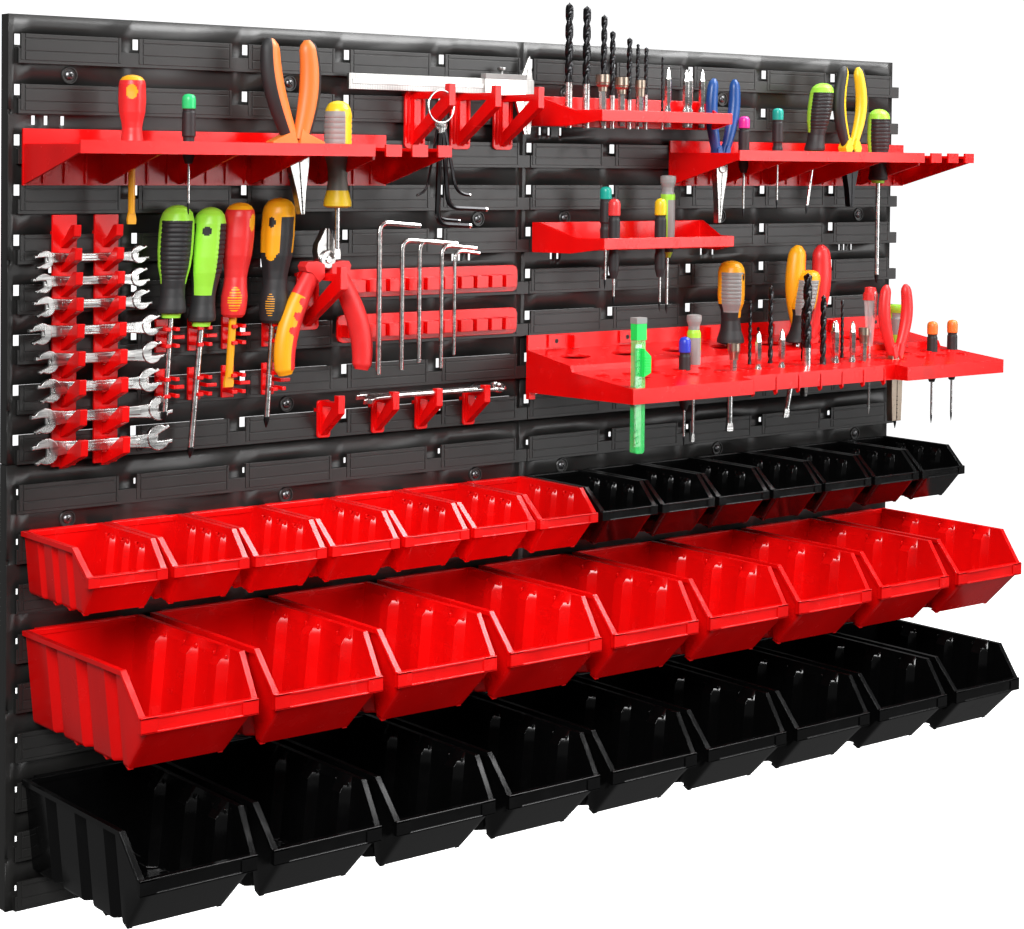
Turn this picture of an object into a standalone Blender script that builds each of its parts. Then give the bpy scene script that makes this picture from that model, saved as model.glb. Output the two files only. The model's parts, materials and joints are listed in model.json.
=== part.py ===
"""Wall board for a workshop: four slotted panels that carry bins, shelves, racks, rails and hooks.

Metres, +Z up. The board's back is the plane y = 0, its front faces -Y, and the origin is the centre
of the back, where the four panels meet. Everything that hangs on the board has a hook that drops
behind a tab of a panel, and lifts straight up to come off.
"""

import math

import bmesh
import bpy
from mathutils import Matrix, Vector

# Panels
PANEL_WIDTH = 0.576
PANEL_HEIGHT = 0.390
PANEL_COLUMNS = 2
PANEL_ROWS = 2
PANEL_GAP = 0.0003
RAILS = 9
TABS = 5
TAB_WIDTH = 0.0973
TAB_HEIGHT = 0.0127
BAND_HEIGHT = 0.0130
FIRST_TAB_DROP = 0.01715
TAB_INSET = 0.0091
BAND_INSET = 0.0070
BAND_LUG = 0.0060
BASE_DEPTH = 0.0130
SLOT_DEPTH = 0.0040
TAB_THICKNESS = 0.0030
FACE_THICKNESS = 0.0025
RIB_THICKNESS = 0.0030
POCKET_ROWS = 4
BOSS_RADIUS = 0.0080
SCREW_RADIUS = 0.0024
BOSS_SPREAD = 0.2300
BOSS_GAPS = (0, 3, 7)

# Hooks that drop behind a tab
HANG_GAP = 0.0004
HOOK_THICKNESS = 0.0024
HOOK_DROP = 0.0085
PLATE_THICKNESS = 0.0025
PLATE_RISE = 0.0050

# Bins
BIN_WALL = 0.0018
BIN_TAPER = 0.10
SMALL_BINS = 14
SMALL_GAP = 0.0040
SMALL_WIDTH = 0.0700
SMALL_HEIGHT = 0.0530
SMALL_RIM_REACH = 0.1150
SMALL_REACH = 0.1370
SMALL_FOOT_REACH = 0.1200
SMALL_LIP_DROP = 0.0210
SMALL_LIP = 0.0090
SMALL_RAIL = 1
LARGE_BINS = 9
LARGE_GAP = 0.0115
LARGE_WIDTH = 0.1080
LARGE_HEIGHT = 0.0770
LARGE_RIM_REACH = 0.1950
LARGE_REACH = 0.2200
LARGE_FOOT_REACH = 0.2000
LARGE_LIP_DROP = 0.0330
LARGE_LIP = 0.0130
LARGE_RAILS = (3, 6)
RIM_FLANGE = 0.0035
RIM_THICKNESS = 0.0030

# Long shelves
SHELF_LENGTH = 0.3860
SHELF_REACH = 0.1270
SHELF_PLATE = 0.0490
SHELF_CENTRES = (-0.3730, 0.3950)
SHELF_RAIL = 2
DECK_THICKNESS = 0.0030
DECK_DROP = 0.0130
LIP_HEIGHT = 0.0110
LIP_THICKNESS = 0.0025
SHELF_HOLES = 7
SHELF_HOLE_PITCH = 0.0550
SHELF_HOLE_LONG = 0.0110
SHELF_HOLE_SHORT = 0.0075
SHELF_HOLE_REACH = 0.0600
SHELF_SMALL_HOLE = 0.0055
SHELF_SMALL_REACH = 0.0980
SHELF_NOTCHES = 3
SHELF_NOTCH_WIDTH = 0.0120
SHELF_NOTCH_DEPTH = 0.0160
SHELF_NOTCH_PITCH = 0.0300
SHELF_NOTCH_END = 0.0220
SHELF_GUSSETS = 6

# Bit shelves
BIT_SHELF_LENGTH = 0.2430
BIT_SHELF_FRONT = 0.1860
BIT_SHELF_REACH = 0.1000
BIT_SHELF_PLATE = 0.0310
BIT_SHELF_CENTRES = ((0.1250, 1), (0.1300, 4))
BIT_DECK_DROP = 0.0200
BIT_LIP_DROP = 0.0145
BIT_LIP_HEIGHT = 0.0115
BIT_HOLES = 17
BIT_HOLE_PITCH = 0.0120
BIT_HOLE_RADIUS = 0.0050
BIT_HOLE_REACH = 0.0520
FRONT_HOLES = 7
FRONT_HOLE_PITCH = 0.0260
FRONT_HOLE_REACH = 0.0840
DRILL_CLEARANCE = 0.0004
SOCKET_SIDES = 8
DRILL_LENGTH = 0.1290
DRILL_POINT = 0.0040
DRILL_TOP = 0.4290
DRILL_HOLES = (0, 2)

# Large tray
TRAY_LENGTH = 0.5740
TRAY_CENTRE = 0.2900
TRAY_RAIL = 7
TRAY_REACH = 0.1820
TRAY_RECESS = 0.0170
TRAY_RECESS_LENGTH = 0.2400
TRAY_WALL = 0.0030
TRAY_FLANGE = 0.0185
TRAY_DECK_RISE = 0.0035
TRAY_STEP_REACH = 0.0890
TRAY_STEP_TOP_DROP = 0.0110
TRAY_STEP = 0.0060
TRAY_FRONT_DROP = 0.0260
TRAY_LIP = 0.0150
TRAY_SKIRT = 0.0440
TRAY_FOOT = 0.0070
TRAY_FOOT_WIDTH = 0.0080
TRAY_OVALS = 8
TRAY_OVAL_LONG = 0.0200
TRAY_OVAL_SHORT = 0.0100
TRAY_OVAL_REACH = 0.0560
TRAY_HOLE_ROWS = 2
TRAY_HOLES = 16
TRAY_HOLE_RADIUS = 0.0060
TRAY_HOLE_REACH = 0.1150
TRAY_HOLE_ROW_PITCH = 0.0230

# Wrench racks
RACK_WIDTH = 0.0240
RACK_LENGTH = 0.2200
RACK_RISE = 0.0170
RACK_CENTRES = (-0.5260, -0.4850)
RACK_RAIL = 4
PRONGS = 9
PRONG_WIDTH = 0.0070
PRONG_PITCH = 0.0205
PRONG_PITCH_GROWTH = 0.0009
PRONG_REACH = 0.0260
PRONG_REACH_GROWTH = 0.0018
PRONG_HEIGHT = 0.0200
PRONG_TIP = 0.0050
PRONG_NOTCH = 0.0110

# Key rails
KEY_RAIL_LENGTH = 0.2240
KEY_RAIL_HEIGHT = 0.0270
KEY_RAIL_CENTRE = -0.1240
KEY_RAILS = (5, 6)
KEY_BLOCKS = 10
KEY_BLOCK_HEIGHT = 0.0120
KEY_BLOCK_REACH = 0.0140
KEY_BLOCK_DROP = 0.0095
KEY_BLOCK_FIRST = 0.0205
KEY_BLOCK_LAST = 0.0130
KEY_NOTCH = 0.0045

# Triangular hooks
HOOK_WIDTH = 0.0250
HOOK_HEIGHT = 0.0560
HOOK_REACH = 0.0820
HOOK_ARM = 0.0075
HOOK_BAR = 0.0070
HOOK_TIP = 0.0070
HOOK_TIP_RISE = 0.0070
LARGE_HOOKS = ((-0.1450, 1), (-0.0880, 1), (-0.0330, 1), (-0.2700, 5))
SMALL_HOOK_WIDTH = 0.0150
SMALL_HOOK_HEIGHT = 0.0360
SMALL_HOOK_REACH = 0.0520
SMALL_HOOK_RISE = 0.0110
SMALL_HOOK_BAR = 0.0050
SMALL_HOOKS = (-0.2505, -0.1865, -0.1335, -0.0735)
SMALL_HOOK_RAIL = 8

# Side cutters on the fourth large hook
CUTTER_REACH = 0.0500
CUTTER_PIVOT_RISE = 0.0120
CUTTER_LAP = 0.0045
CUTTER_LAP_GAP = 0.0004
CUTTER_DISC = 0.0090
CUTTER_JAW = 0.0300
CUTTER_JAW_WIDTH = 0.0110
CUTTER_HANDLE = 0.1080
CUTTER_HANDLE_BOW = 0.0300
CUTTER_GRIP_RADIUS = 0.0065
CUTTER_GRIP_START = 0.0120
CUTTER_OPEN = math.radians(8.0)

# Depths that follow from the ones above
SLOT_BACK = -BASE_DEPTH
TAB_BACK = SLOT_BACK - SLOT_DEPTH
TAB_FRONT = TAB_BACK - TAB_THICKNESS
PLATE_BACK = TAB_FRONT - HANG_GAP
PLATE_FRONT = PLATE_BACK - PLATE_THICKNESS
RAIL_PITCH = PANEL_HEIGHT / RAILS
TAB_PITCH = PANEL_WIDTH / TABS
HOOK_TOP = HANG_GAP + HOOK_THICKNESS
SMALL_PITCH = SMALL_WIDTH + 2 * RIM_FLANGE + SMALL_GAP
LARGE_PITCH = LARGE_WIDTH + 2 * RIM_FLANGE + LARGE_GAP
DRILL_RADIUS = BIT_HOLE_RADIUS * math.cos(math.pi / SOCKET_SIDES) - DRILL_CLEARANCE

RED = (0.62, 0.012, 0.010)
BLACK = (0.012, 0.012, 0.013)
CHARCOAL = (0.020, 0.020, 0.021)
STEEL = (0.55, 0.54, 0.52)
PLANES = {
    "XY": Matrix.Identity(3),
    "YZ": Matrix(((0, 0, 1), (1, 0, 0), (0, 1, 0))),
    "XZ": Matrix(((1, 0, 0), (0, 0, -1), (0, 1, 0))),
}


def clear_scene():
    for obj in list(bpy.data.objects):
        bpy.data.objects.remove(obj, do_unlink=True)


def collection(name):
    made = bpy.data.collections.new(name)
    bpy.context.scene.collection.children.link(made)
    return made


def finish(name, colour, roughness, metallic=0.0):
    made = bpy.data.materials.new(name)
    made.use_nodes = True
    shader = made.node_tree.nodes["Principled BSDF"]
    shader.inputs["Base Color"].default_value = (*colour, 1.0)
    shader.inputs["Roughness"].default_value = roughness
    shader.inputs["Metallic"].default_value = metallic
    return made


def weld(mesh):
    """Join the loose caps of a curve's mesh and turn its faces outwards."""
    work = bmesh.new()
    work.from_mesh(mesh)
    bmesh.ops.remove_doubles(work, verts=work.verts, dist=1e-6)
    bmesh.ops.recalc_face_normals(work, faces=work.faces)
    if work.calc_volume(signed=True) < 0:
        bmesh.ops.reverse_faces(work, faces=work.faces)
    work.to_mesh(mesh)
    work.free()
    return mesh


def mesh_of(obj):
    """The object's evaluated mesh, as a mesh of its own."""
    graph = bpy.context.evaluated_depsgraph_get()
    return bpy.data.meshes.new_from_object(obj.evaluated_get(graph))


def hold(name, mesh):
    """An unplaced helper solid."""
    obj = bpy.data.objects.new(name, mesh)
    obj.hide_render = True
    obj.display_type = "WIRE"
    HELPERS.objects.link(obj)
    return obj


def drop(obj):
    bpy.data.objects.remove(obj, do_unlink=True)


def slab(plane, loops, low, high):
    """Outlines in one plane, filled and given thickness from low to high across that plane.

    The first loop is the outline and the others are holes. YZ slabs run along X, XZ slabs along Y
    and XY slabs along Z.
    """
    curve = bpy.data.curves.new("outline", "CURVE")
    curve.dimensions = "2D"
    curve.fill_mode = "BOTH"
    curve.extrude = (high - low) / 2
    for loop in loops:
        spline = curve.splines.new("POLY")
        spline.points.add(len(loop) - 1)
        for point, (a, b) in zip(spline.points, loop):
            point.co = (a, b, 0.0, 1.0)
        spline.use_cyclic_u = True
    obj = bpy.data.objects.new("outline", curve)
    HELPERS.objects.link(obj)
    mesh = mesh_of(obj)
    drop(obj)
    middle = (low + high) / 2
    turn = PLANES[plane].to_4x4()
    along = PLANES[plane] @ Vector((0, 0, 1))
    side = 1.0 if sum(along) > 0 else -1.0
    mesh.transform(Matrix.Translation(along * middle * side) @ turn)
    return hold("slab", weld(mesh))


def box(x, y, z):
    """A box from its three (low, high) spans."""
    work = bmesh.new()
    bmesh.ops.create_cube(work, size=1.0)
    sides = [high - low for low, high in (x, y, z)]
    middle = [(low + high) / 2 for low, high in (x, y, z)]
    bmesh.ops.scale(work, vec=sides, verts=work.verts)
    bmesh.ops.translate(work, vec=middle, verts=work.verts)
    mesh = bpy.data.meshes.new("box")
    work.to_mesh(mesh)
    work.free()
    return hold("box", mesh)


def rod(centre, radius, low, high, sides):
    """A round rod along Y at (x, z), from y = low to y = high."""
    work = bmesh.new()
    turn = Matrix.Translation((centre[0], (low + high) / 2, centre[1])) @ Matrix.Rotation(math.pi / 2, 4, "X")
    bmesh.ops.create_cone(
        work, cap_ends=True, segments=sides, radius1=radius, radius2=radius, depth=high - low, matrix=turn
    )
    mesh = bpy.data.meshes.new("rod")
    work.to_mesh(mesh)
    work.free()
    return hold("rod", mesh)


def merge(objs):
    """One helper that holds several solids that don't meet."""
    work = bmesh.new()
    for obj in objs:
        work.from_mesh(obj.data)
        drop(obj)
    mesh = bpy.data.meshes.new("merged")
    work.to_mesh(mesh)
    work.free()
    return hold("merged", mesh)


def fuse(base, joined=(), cut=()):
    """The base with each joined solid added and then each cut solid taken away."""
    steps = [(obj, "UNION") for obj in joined] + [(obj, "DIFFERENCE") for obj in cut]
    for obj, operation in steps:
        modifier = base.modifiers.new(operation.title(), "BOOLEAN")
        modifier.object = obj
        modifier.operation = operation
        modifier.solver = "EXACT"
    mesh = mesh_of(base)
    for obj, _ in steps:
        drop(obj)
    drop(base)
    return hold("fused", mesh)


def pierced(outline, holes, low, high):
    """A deck from z = low to z = high with holes cut through it."""
    reach = 2 * (high - low)
    cutter = merge([slab("XY", [hole], low - reach, high + reach) for hole in holes])
    return fuse(slab("XY", [outline], low, high), cut=[cutter])


def circle(x, y, radius, sides, stretch=1.0):
    """Points round a circle, or round an oval that is stretch times as long along its first axis."""
    turns = [2 * math.pi * (i + 0.5) / sides for i in range(sides)]
    return [(x + radius * stretch * math.cos(t), y + radius * math.sin(t)) for t in turns]


def rectangle(low_a, high_a, low_b, high_b):
    return [(low_a, low_b), (high_a, low_b), (high_a, high_b), (low_a, high_b)]


def rounded(low_a, high_a, low_b, high_b, radius, steps=3):
    """A rectangle with round corners."""
    centres = [
        (high_a - radius, high_b - radius),
        (low_a + radius, high_b - radius),
        (low_a + radius, low_b + radius),
        (high_a - radius, low_b + radius),
    ]
    points = []
    for corner, (a, b) in enumerate(centres):
        for step in range(steps):
            turn = math.pi / 2 * (corner + step / (steps - 1))
            points.append((a + radius * math.cos(turn), b + radius * math.sin(turn)))
    return points


def offset(outline, distances):
    """A convex outline, counter-clockwise, with each side moved inwards by its own distance."""
    lines = []
    for (a, b), (c, d), distance in zip(outline, outline[1:] + outline[:1], distances):
        length = math.hypot(c - a, d - b)
        inward = Vector((-(d - b) / length, (c - a) / length))
        lines.append((Vector((a, b)) + inward * distance, Vector((c - a, d - b))))
    points = []
    for (p, u), (q, v) in zip(lines[-1:] + lines[:-1], lines):
        across = u.x * v.y - u.y * v.x
        along = ((q.x - p.x) * v.y - (q.y - p.y) * v.x) / across
        points.append(tuple(p + u * along))
    return points


def strip(path, thickness):
    """The outline of a wall of this thickness on the left of an open path."""
    moved = []
    for i, point in enumerate(path):
        before = Vector(point) - Vector(path[max(i - 1, 0)])
        after = Vector(path[min(i + 1, len(path) - 1)]) - Vector(point)
        sides = [Vector((-way.y, way.x)).normalized() for way in (before, after) if way.length]
        middle = sum(sides, Vector((0.0, 0.0))).normalized()
        moved.append(tuple(Vector(point) + middle * thickness / middle.dot(sides[0])))
    return list(path) + moved[::-1]


def tab_top(panel_row, rail):
    """Height of a rail's tabs. Panel row 0 is the lower one, and rail 0 is a panel's top one."""
    bottom = (panel_row - PANEL_ROWS / 2) * PANEL_HEIGHT
    return bottom + PANEL_HEIGHT - FIRST_TAB_DROP - rail * RAIL_PITCH


def place(name, mesh, material, location=(0.0, 0.0, 0.0)):
    """A node: a named object with its own material."""
    mesh = mesh.copy() if mesh.users else mesh
    mesh.name = name
    mesh.materials.clear()
    mesh.materials.append(material)
    obj = bpy.data.objects.new(name, mesh)
    obj.location = location
    PARTS.objects.link(obj)
    return obj


def take(obj):
    """The mesh of a helper, which is removed."""
    mesh = obj.data
    drop(obj)
    return mesh


def hook_profile():
    """Side outline, as (y, z) from the tab's top, of a lip that goes over a tab and down behind it."""
    back = SLOT_BACK - HANG_GAP
    front = TAB_BACK + HANG_GAP
    root = (PLATE_FRONT + PLATE_BACK) / 2
    return [
        (root, HANG_GAP),
        (root, HOOK_TOP),
        (back, HOOK_TOP),
        (back, -HOOK_DROP),
        (front, -HOOK_DROP),
        (front, HANG_GAP),
    ]


def hook(width):
    return slab("YZ", [hook_profile()], -width / 2, width / 2)


def back_plate(width, top, height):
    return box((-width / 2, width / 2), (PLATE_FRONT, PLATE_BACK), (top - height, top))


def comb_outline(rail):
    """Front outline of one rail, from the panel's lower left corner: a band with tabs on top."""
    top = PANEL_HEIGHT - FIRST_TAB_DROP - rail * RAIL_PITCH
    shoulder = top - TAB_HEIGHT
    points = [(BAND_INSET, shoulder - BAND_HEIGHT), (PANEL_WIDTH + BAND_LUG, shoulder - BAND_HEIGHT)]
    points.append((PANEL_WIDTH + BAND_LUG, shoulder))
    for tab in reversed(range(TABS)):
        left = TAB_INSET + tab * TAB_PITCH
        points += [(left + TAB_WIDTH, shoulder), (left + TAB_WIDTH, top), (left, top), (left, shoulder)]
    return points + [(BAND_INSET, shoulder)]


def boss_centres():
    """Where the wall screws go through a panel, from its lower left corner."""
    heights = []
    for rail in BOSS_GAPS:
        next_top = PANEL_HEIGHT - FIRST_TAB_DROP - (rail + 1) * RAIL_PITCH
        heights.append(next_top + (RAIL_PITCH - TAB_HEIGHT - BAND_HEIGHT) / 2)
    return [(PANEL_WIDTH / 2 + side * BOSS_SPREAD, z) for side in (-1, 0, 1) for z in heights]


def panel_mesh():
    """A panel with ribbed back, nine rails and a boss for each wall screw."""
    base = box(
        (PANEL_GAP, PANEL_WIDTH - PANEL_GAP),
        (SLOT_BACK, 0.0),
        (PANEL_GAP, PANEL_HEIGHT - PANEL_GAP),
    )
    pocket_back = SLOT_BACK + FACE_THICKNESS
    cell = PANEL_HEIGHT / POCKET_ROWS
    rib = RIB_THICKNESS / 2
    pockets = [
        box(
            (column * TAB_PITCH + rib, (column + 1) * TAB_PITCH - rib),
            (pocket_back, RIB_THICKNESS),
            (row * cell + rib, (row + 1) * cell - rib),
        )
        for column in range(TABS)
        for row in range(POCKET_ROWS)
    ]
    bosses = [rod(centre, BOSS_RADIUS, SLOT_BACK, 0.0, 8) for centre in boss_centres()]
    holes = [rod(centre, SCREW_RADIUS, 2 * SLOT_BACK, BASE_DEPTH, 8) for centre in boss_centres()]
    bands = []
    lugs = []
    combs = []
    for rail in range(RAILS):
        top = PANEL_HEIGHT - FIRST_TAB_DROP - rail * RAIL_PITCH - TAB_HEIGHT
        span = (top - BAND_HEIGHT, top)
        inner = (BAND_INSET, PANEL_WIDTH - 2 * rib)
        outer = (PANEL_WIDTH - 4 * rib, PANEL_WIDTH + BAND_LUG)
        bands.append(box(inner, (TAB_BACK - rib / 2, SLOT_BACK + rib / 2), span))
        lugs.append(box(outer, (TAB_BACK - rib / 2, SLOT_BACK - HANG_GAP), span))
        combs.append(slab("XZ", [comb_outline(rail)], TAB_FRONT, TAB_BACK))
    base = fuse(base, cut=[merge(pockets)])
    base = fuse(base, joined=[merge(bosses), merge(bands), merge(lugs)])
    return take(fuse(base, joined=[merge(combs)], cut=[merge(holes)]))


def narrowed(obj, height):
    """The solid drawn in along X towards its bottom, by BIN_TAPER over the height."""
    for vertex in obj.data.vertices:
        vertex.co.x *= 1 + BIN_TAPER * min(0.0, vertex.co.z / height)
    return obj


def bin_mesh(width, height, rim_reach, reach, foot_reach, lip_drop, lip):
    """An open-fronted bin, with z = 0 at its rim: a tapered shell, a rim flange and a hook."""
    outline = [
        (PLATE_BACK, -height),
        (PLATE_BACK, 0.0),
        (-rim_reach, 0.0),
        (-reach, -lip_drop),
        (-reach, -lip_drop - lip),
        (-foot_reach, -height),
    ]
    walls = [BIN_WALL, -height, -height, BIN_WALL, BIN_WALL, BIN_WALL]
    hollow = offset(outline, walls)
    shell = narrowed(slab("YZ", [outline], -width / 2, width / 2), height)
    edge = [(PLATE_BACK, 0.0), (-rim_reach, 0.0), (-reach - RIM_FLANGE, -lip_drop)]
    half = width / 2 + RIM_FLANGE
    rim = slab("YZ", [strip(edge, RIM_THICKNESS)], -half, half)
    inside = narrowed(slab("YZ", [hollow], BIN_WALL - width / 2, width / 2 - BIN_WALL), height)
    shell = fuse(shell, joined=[rim], cut=[inside])
    seat = hook(width * 0.8)
    seat.data.transform(Matrix.Translation((0.0, 0.0, -HOOK_TOP)))
    return take(fuse(shell, joined=[seat]))


def long_shelf_mesh():
    """A shelf with z = 0 at its tab's top: plate, pierced deck, notched lip and gussets."""
    half = SHELF_LENGTH / 2
    deck_top = PLATE_RISE - DECK_DROP
    lip_top = deck_top + DECK_THICKNESS
    notches = [half - SHELF_NOTCH_END - i * SHELF_NOTCH_PITCH for i in range(SHELF_NOTCHES)]
    holes = []
    for i in range(SHELF_HOLES):
        x = (i - (SHELF_HOLES - 1) / 2) * SHELF_HOLE_PITCH
        stretch = SHELF_HOLE_LONG / SHELF_HOLE_SHORT
        holes.append(circle(x, -SHELF_HOLE_REACH, SHELF_HOLE_SHORT, 10, stretch))
        if x + SHELF_HOLE_PITCH / 2 < notches[-1] - SHELF_NOTCH_PITCH / 2:
            holes.append(circle(x + SHELF_HOLE_PITCH / 2, -SHELF_SMALL_REACH, SHELF_SMALL_HOLE, 8))
    seat = (PLATE_BACK + PLATE_FRONT) / 2
    edge = LIP_THICKNESS / 2 - SHELF_REACH
    inset = half - PLATE_THICKNESS / 2
    deck = pierced(rectangle(-inset, inset, edge, seat), holes, deck_top - DECK_THICKNESS, deck_top)
    plate = back_plate(SHELF_LENGTH, PLATE_RISE, SHELF_PLATE)
    lip = box((-half, half), (-SHELF_REACH, LIP_THICKNESS - SHELF_REACH), (lip_top - LIP_HEIGHT, lip_top))
    foot = PLATE_RISE - SHELF_PLATE
    buried = deck_top - DECK_THICKNESS / 2
    side = [
        (seat, buried),
        (seat, foot + LIP_THICKNESS / 2),
        (PLATE_FRONT - LIP_THICKNESS, foot + LIP_THICKNESS / 2),
        (edge, lip_top - LIP_HEIGHT + LIP_THICKNESS / 2),
        (edge, buried),
    ]
    gussets = []
    for i in range(SHELF_GUSSETS):
        x = HANG_GAP - half + i * (SHELF_LENGTH - PLATE_THICKNESS - 2 * HANG_GAP) / (SHELF_GUSSETS - 1)
        gussets.append(slab("YZ", [side], x, x + PLATE_THICKNESS))
    cuts = [
        box(
            (x - SHELF_NOTCH_WIDTH / 2, x + SHELF_NOTCH_WIDTH / 2),
            (-2 * SHELF_REACH, SHELF_NOTCH_DEPTH - SHELF_REACH),
            (foot, 2 * PLATE_RISE),
        )
        for x in notches
    ]
    shell = fuse(plate, joined=[deck, lip, merge(gussets), hook(SHELF_LENGTH * 0.9)])
    return take(fuse(shell, cut=[merge(cuts)]))


def bit_shelf_mesh():
    """A shallow tray that narrows to the front, with hexagonal sockets, and z = 0 at its tab's top."""
    back = BIT_SHELF_LENGTH / 2
    front = BIT_SHELF_FRONT / 2
    outer = [(-back, PLATE_BACK), (-front, -BIT_SHELF_REACH), (front, -BIT_SHELF_REACH), (back, PLATE_BACK)]
    inner = offset(outer, [LIP_THICKNESS, LIP_THICKNESS, LIP_THICKNESS, PLATE_THICKNESS])
    foot = PLATE_RISE - BIT_SHELF_PLATE
    wall = slab("XY", [outer, inner], foot, PLATE_RISE)
    holes = []
    for i in range(BIT_HOLES):
        x = (i - (BIT_HOLES - 1) / 2) * BIT_HOLE_PITCH
        holes.append(circle(x, -BIT_HOLE_REACH, BIT_HOLE_RADIUS, SOCKET_SIDES))
    for i in range(FRONT_HOLES):
        x = (i - (FRONT_HOLES - 1) / 2) * FRONT_HOLE_PITCH
        holes.append(circle(x, -FRONT_HOLE_REACH, BIT_HOLE_RADIUS, SOCKET_SIDES))
    deck_outline = offset(outer, [LIP_THICKNESS / 2] * 4)
    deck_top = PLATE_RISE - BIT_DECK_DROP
    deck = pierced(deck_outline, holes, deck_top - DECK_THICKNESS, deck_top)
    lip_top = PLATE_RISE - BIT_LIP_DROP
    lip_bottom = lip_top - BIT_LIP_HEIGHT
    shoulder = PLATE_FRONT - PLATE_RISE
    above = [
        (shoulder, PLATE_RISE),
        (-BIT_SHELF_REACH + 0.3 * BIT_SHELF_REACH, lip_top),
        (-2 * BIT_SHELF_REACH, lip_top),
        (-2 * BIT_SHELF_REACH, 2 * PLATE_RISE),
        (shoulder, 2 * PLATE_RISE),
    ]
    below = [
        (PLATE_FRONT - 0.4 * BIT_SHELF_REACH, foot),
        (PLATE_FRONT - 0.4 * BIT_SHELF_REACH, 2 * foot),
        (-2 * BIT_SHELF_REACH, 2 * foot),
        (-2 * BIT_SHELF_REACH, lip_bottom),
        (2 * LIP_THICKNESS - BIT_SHELF_REACH, lip_bottom),
    ]
    wall = fuse(wall, cut=[slab("YZ", [cutter], -2 * back, 2 * back) for cutter in (above, below)])
    return take(fuse(wall, joined=[deck, hook(BIT_SHELF_LENGTH * 0.9)]))


def sheared(obj, slope, pivot_y):
    """The solid tilted about an X line, each point lowered by slope times its distance in front."""
    for vertex in obj.data.vertices:
        vertex.co.z += slope * (vertex.co.y - pivot_y)
    return obj


def tray_mesh():
    """A two-level tool tray, with z = 0 at its tab's top."""
    half = TRAY_LENGTH / 2
    recess = TRAY_RECESS_LENGTH / 2
    inset_reach = TRAY_REACH - TRAY_RECESS
    step_top = TRAY_DECK_RISE - TRAY_STEP_TOP_DROP
    step_foot = step_top - TRAY_STEP
    front = TRAY_DECK_RISE - TRAY_FRONT_DROP
    lip_foot = front - TRAY_LIP
    skirt = TRAY_DECK_RISE - TRAY_SKIRT
    upper_slope = TRAY_STEP_TOP_DROP / (TRAY_STEP_REACH + PLATE_BACK)
    lower_slope = (step_foot - front) / (TRAY_REACH - TRAY_STEP_REACH)
    end = [
        (PLATE_BACK, TRAY_DECK_RISE),
        (PLATE_BACK, skirt),
        (-TRAY_REACH, lip_foot),
        (-TRAY_REACH, front),
        (-TRAY_STEP_REACH - TRAY_WALL, step_foot),
        (-TRAY_STEP_REACH, step_top),
    ]
    ends = [slab("YZ", [end], x, x + TRAY_WALL) for x in (-half, half - TRAY_WALL)]
    ovals = []
    for i in range(TRAY_OVALS):
        x = (i - (TRAY_OVALS - 1) / 2) * TRAY_LENGTH / TRAY_OVALS
        ovals.append(circle(x, -TRAY_OVAL_REACH, TRAY_OVAL_SHORT, 10, TRAY_OVAL_LONG / TRAY_OVAL_SHORT))
    upper = pierced(
        rectangle(-half, half, -TRAY_STEP_REACH, PLATE_BACK),
        ovals,
        TRAY_DECK_RISE - TRAY_WALL,
        TRAY_DECK_RISE,
    )
    outline = [
        (-half, -TRAY_STEP_REACH + TRAY_WALL),
        (-half, -TRAY_REACH),
        (-recess, -TRAY_REACH),
        (-recess, -inset_reach),
        (recess, -inset_reach),
        (recess, -TRAY_REACH),
        (half, -TRAY_REACH),
        (half, -TRAY_STEP_REACH + TRAY_WALL),
    ]
    holes = []
    for row in range(TRAY_HOLE_ROWS):
        for i in range(TRAY_HOLES):
            x = (i - (TRAY_HOLES - 1) / 2) * (TRAY_LENGTH - 2 * TRAY_OVAL_LONG) / (TRAY_HOLES - 1)
            y = -TRAY_HOLE_REACH - row * TRAY_HOLE_ROW_PITCH
            holes.append(circle(x, y, TRAY_HOLE_RADIUS, 8))
    lower = pierced(outline, holes, step_foot - TRAY_WALL, step_foot)
    lip = slab("XY", [strip(outline[1:-1], TRAY_WALL)], lip_foot, front)
    riser = box(
        (-half, half),
        (-TRAY_STEP_REACH, TRAY_WALL - TRAY_STEP_REACH),
        (step_foot - TRAY_WALL / 2, step_top - TRAY_WALL / 2),
    )
    flange = back_plate(TRAY_LENGTH, TRAY_FLANGE, TRAY_FLANGE + TRAY_SKIRT - TRAY_DECK_RISE)
    feet = [
        box((x, x + TRAY_FOOT_WIDTH), (PLATE_FRONT - TRAY_WALL, PLATE_BACK), (skirt - TRAY_FOOT, 0.0))
        for x in (-half, half - TRAY_FOOT_WIDTH)
    ]
    sheared(upper, upper_slope, PLATE_BACK)
    sheared(lower, lower_slope, -TRAY_STEP_REACH)
    shell = fuse(flange, joined=[merge(ends), upper, riser, lower, lip, merge(feet)])
    return take(fuse(shell, joined=[hook(TRAY_LENGTH * 0.9)]))


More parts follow.
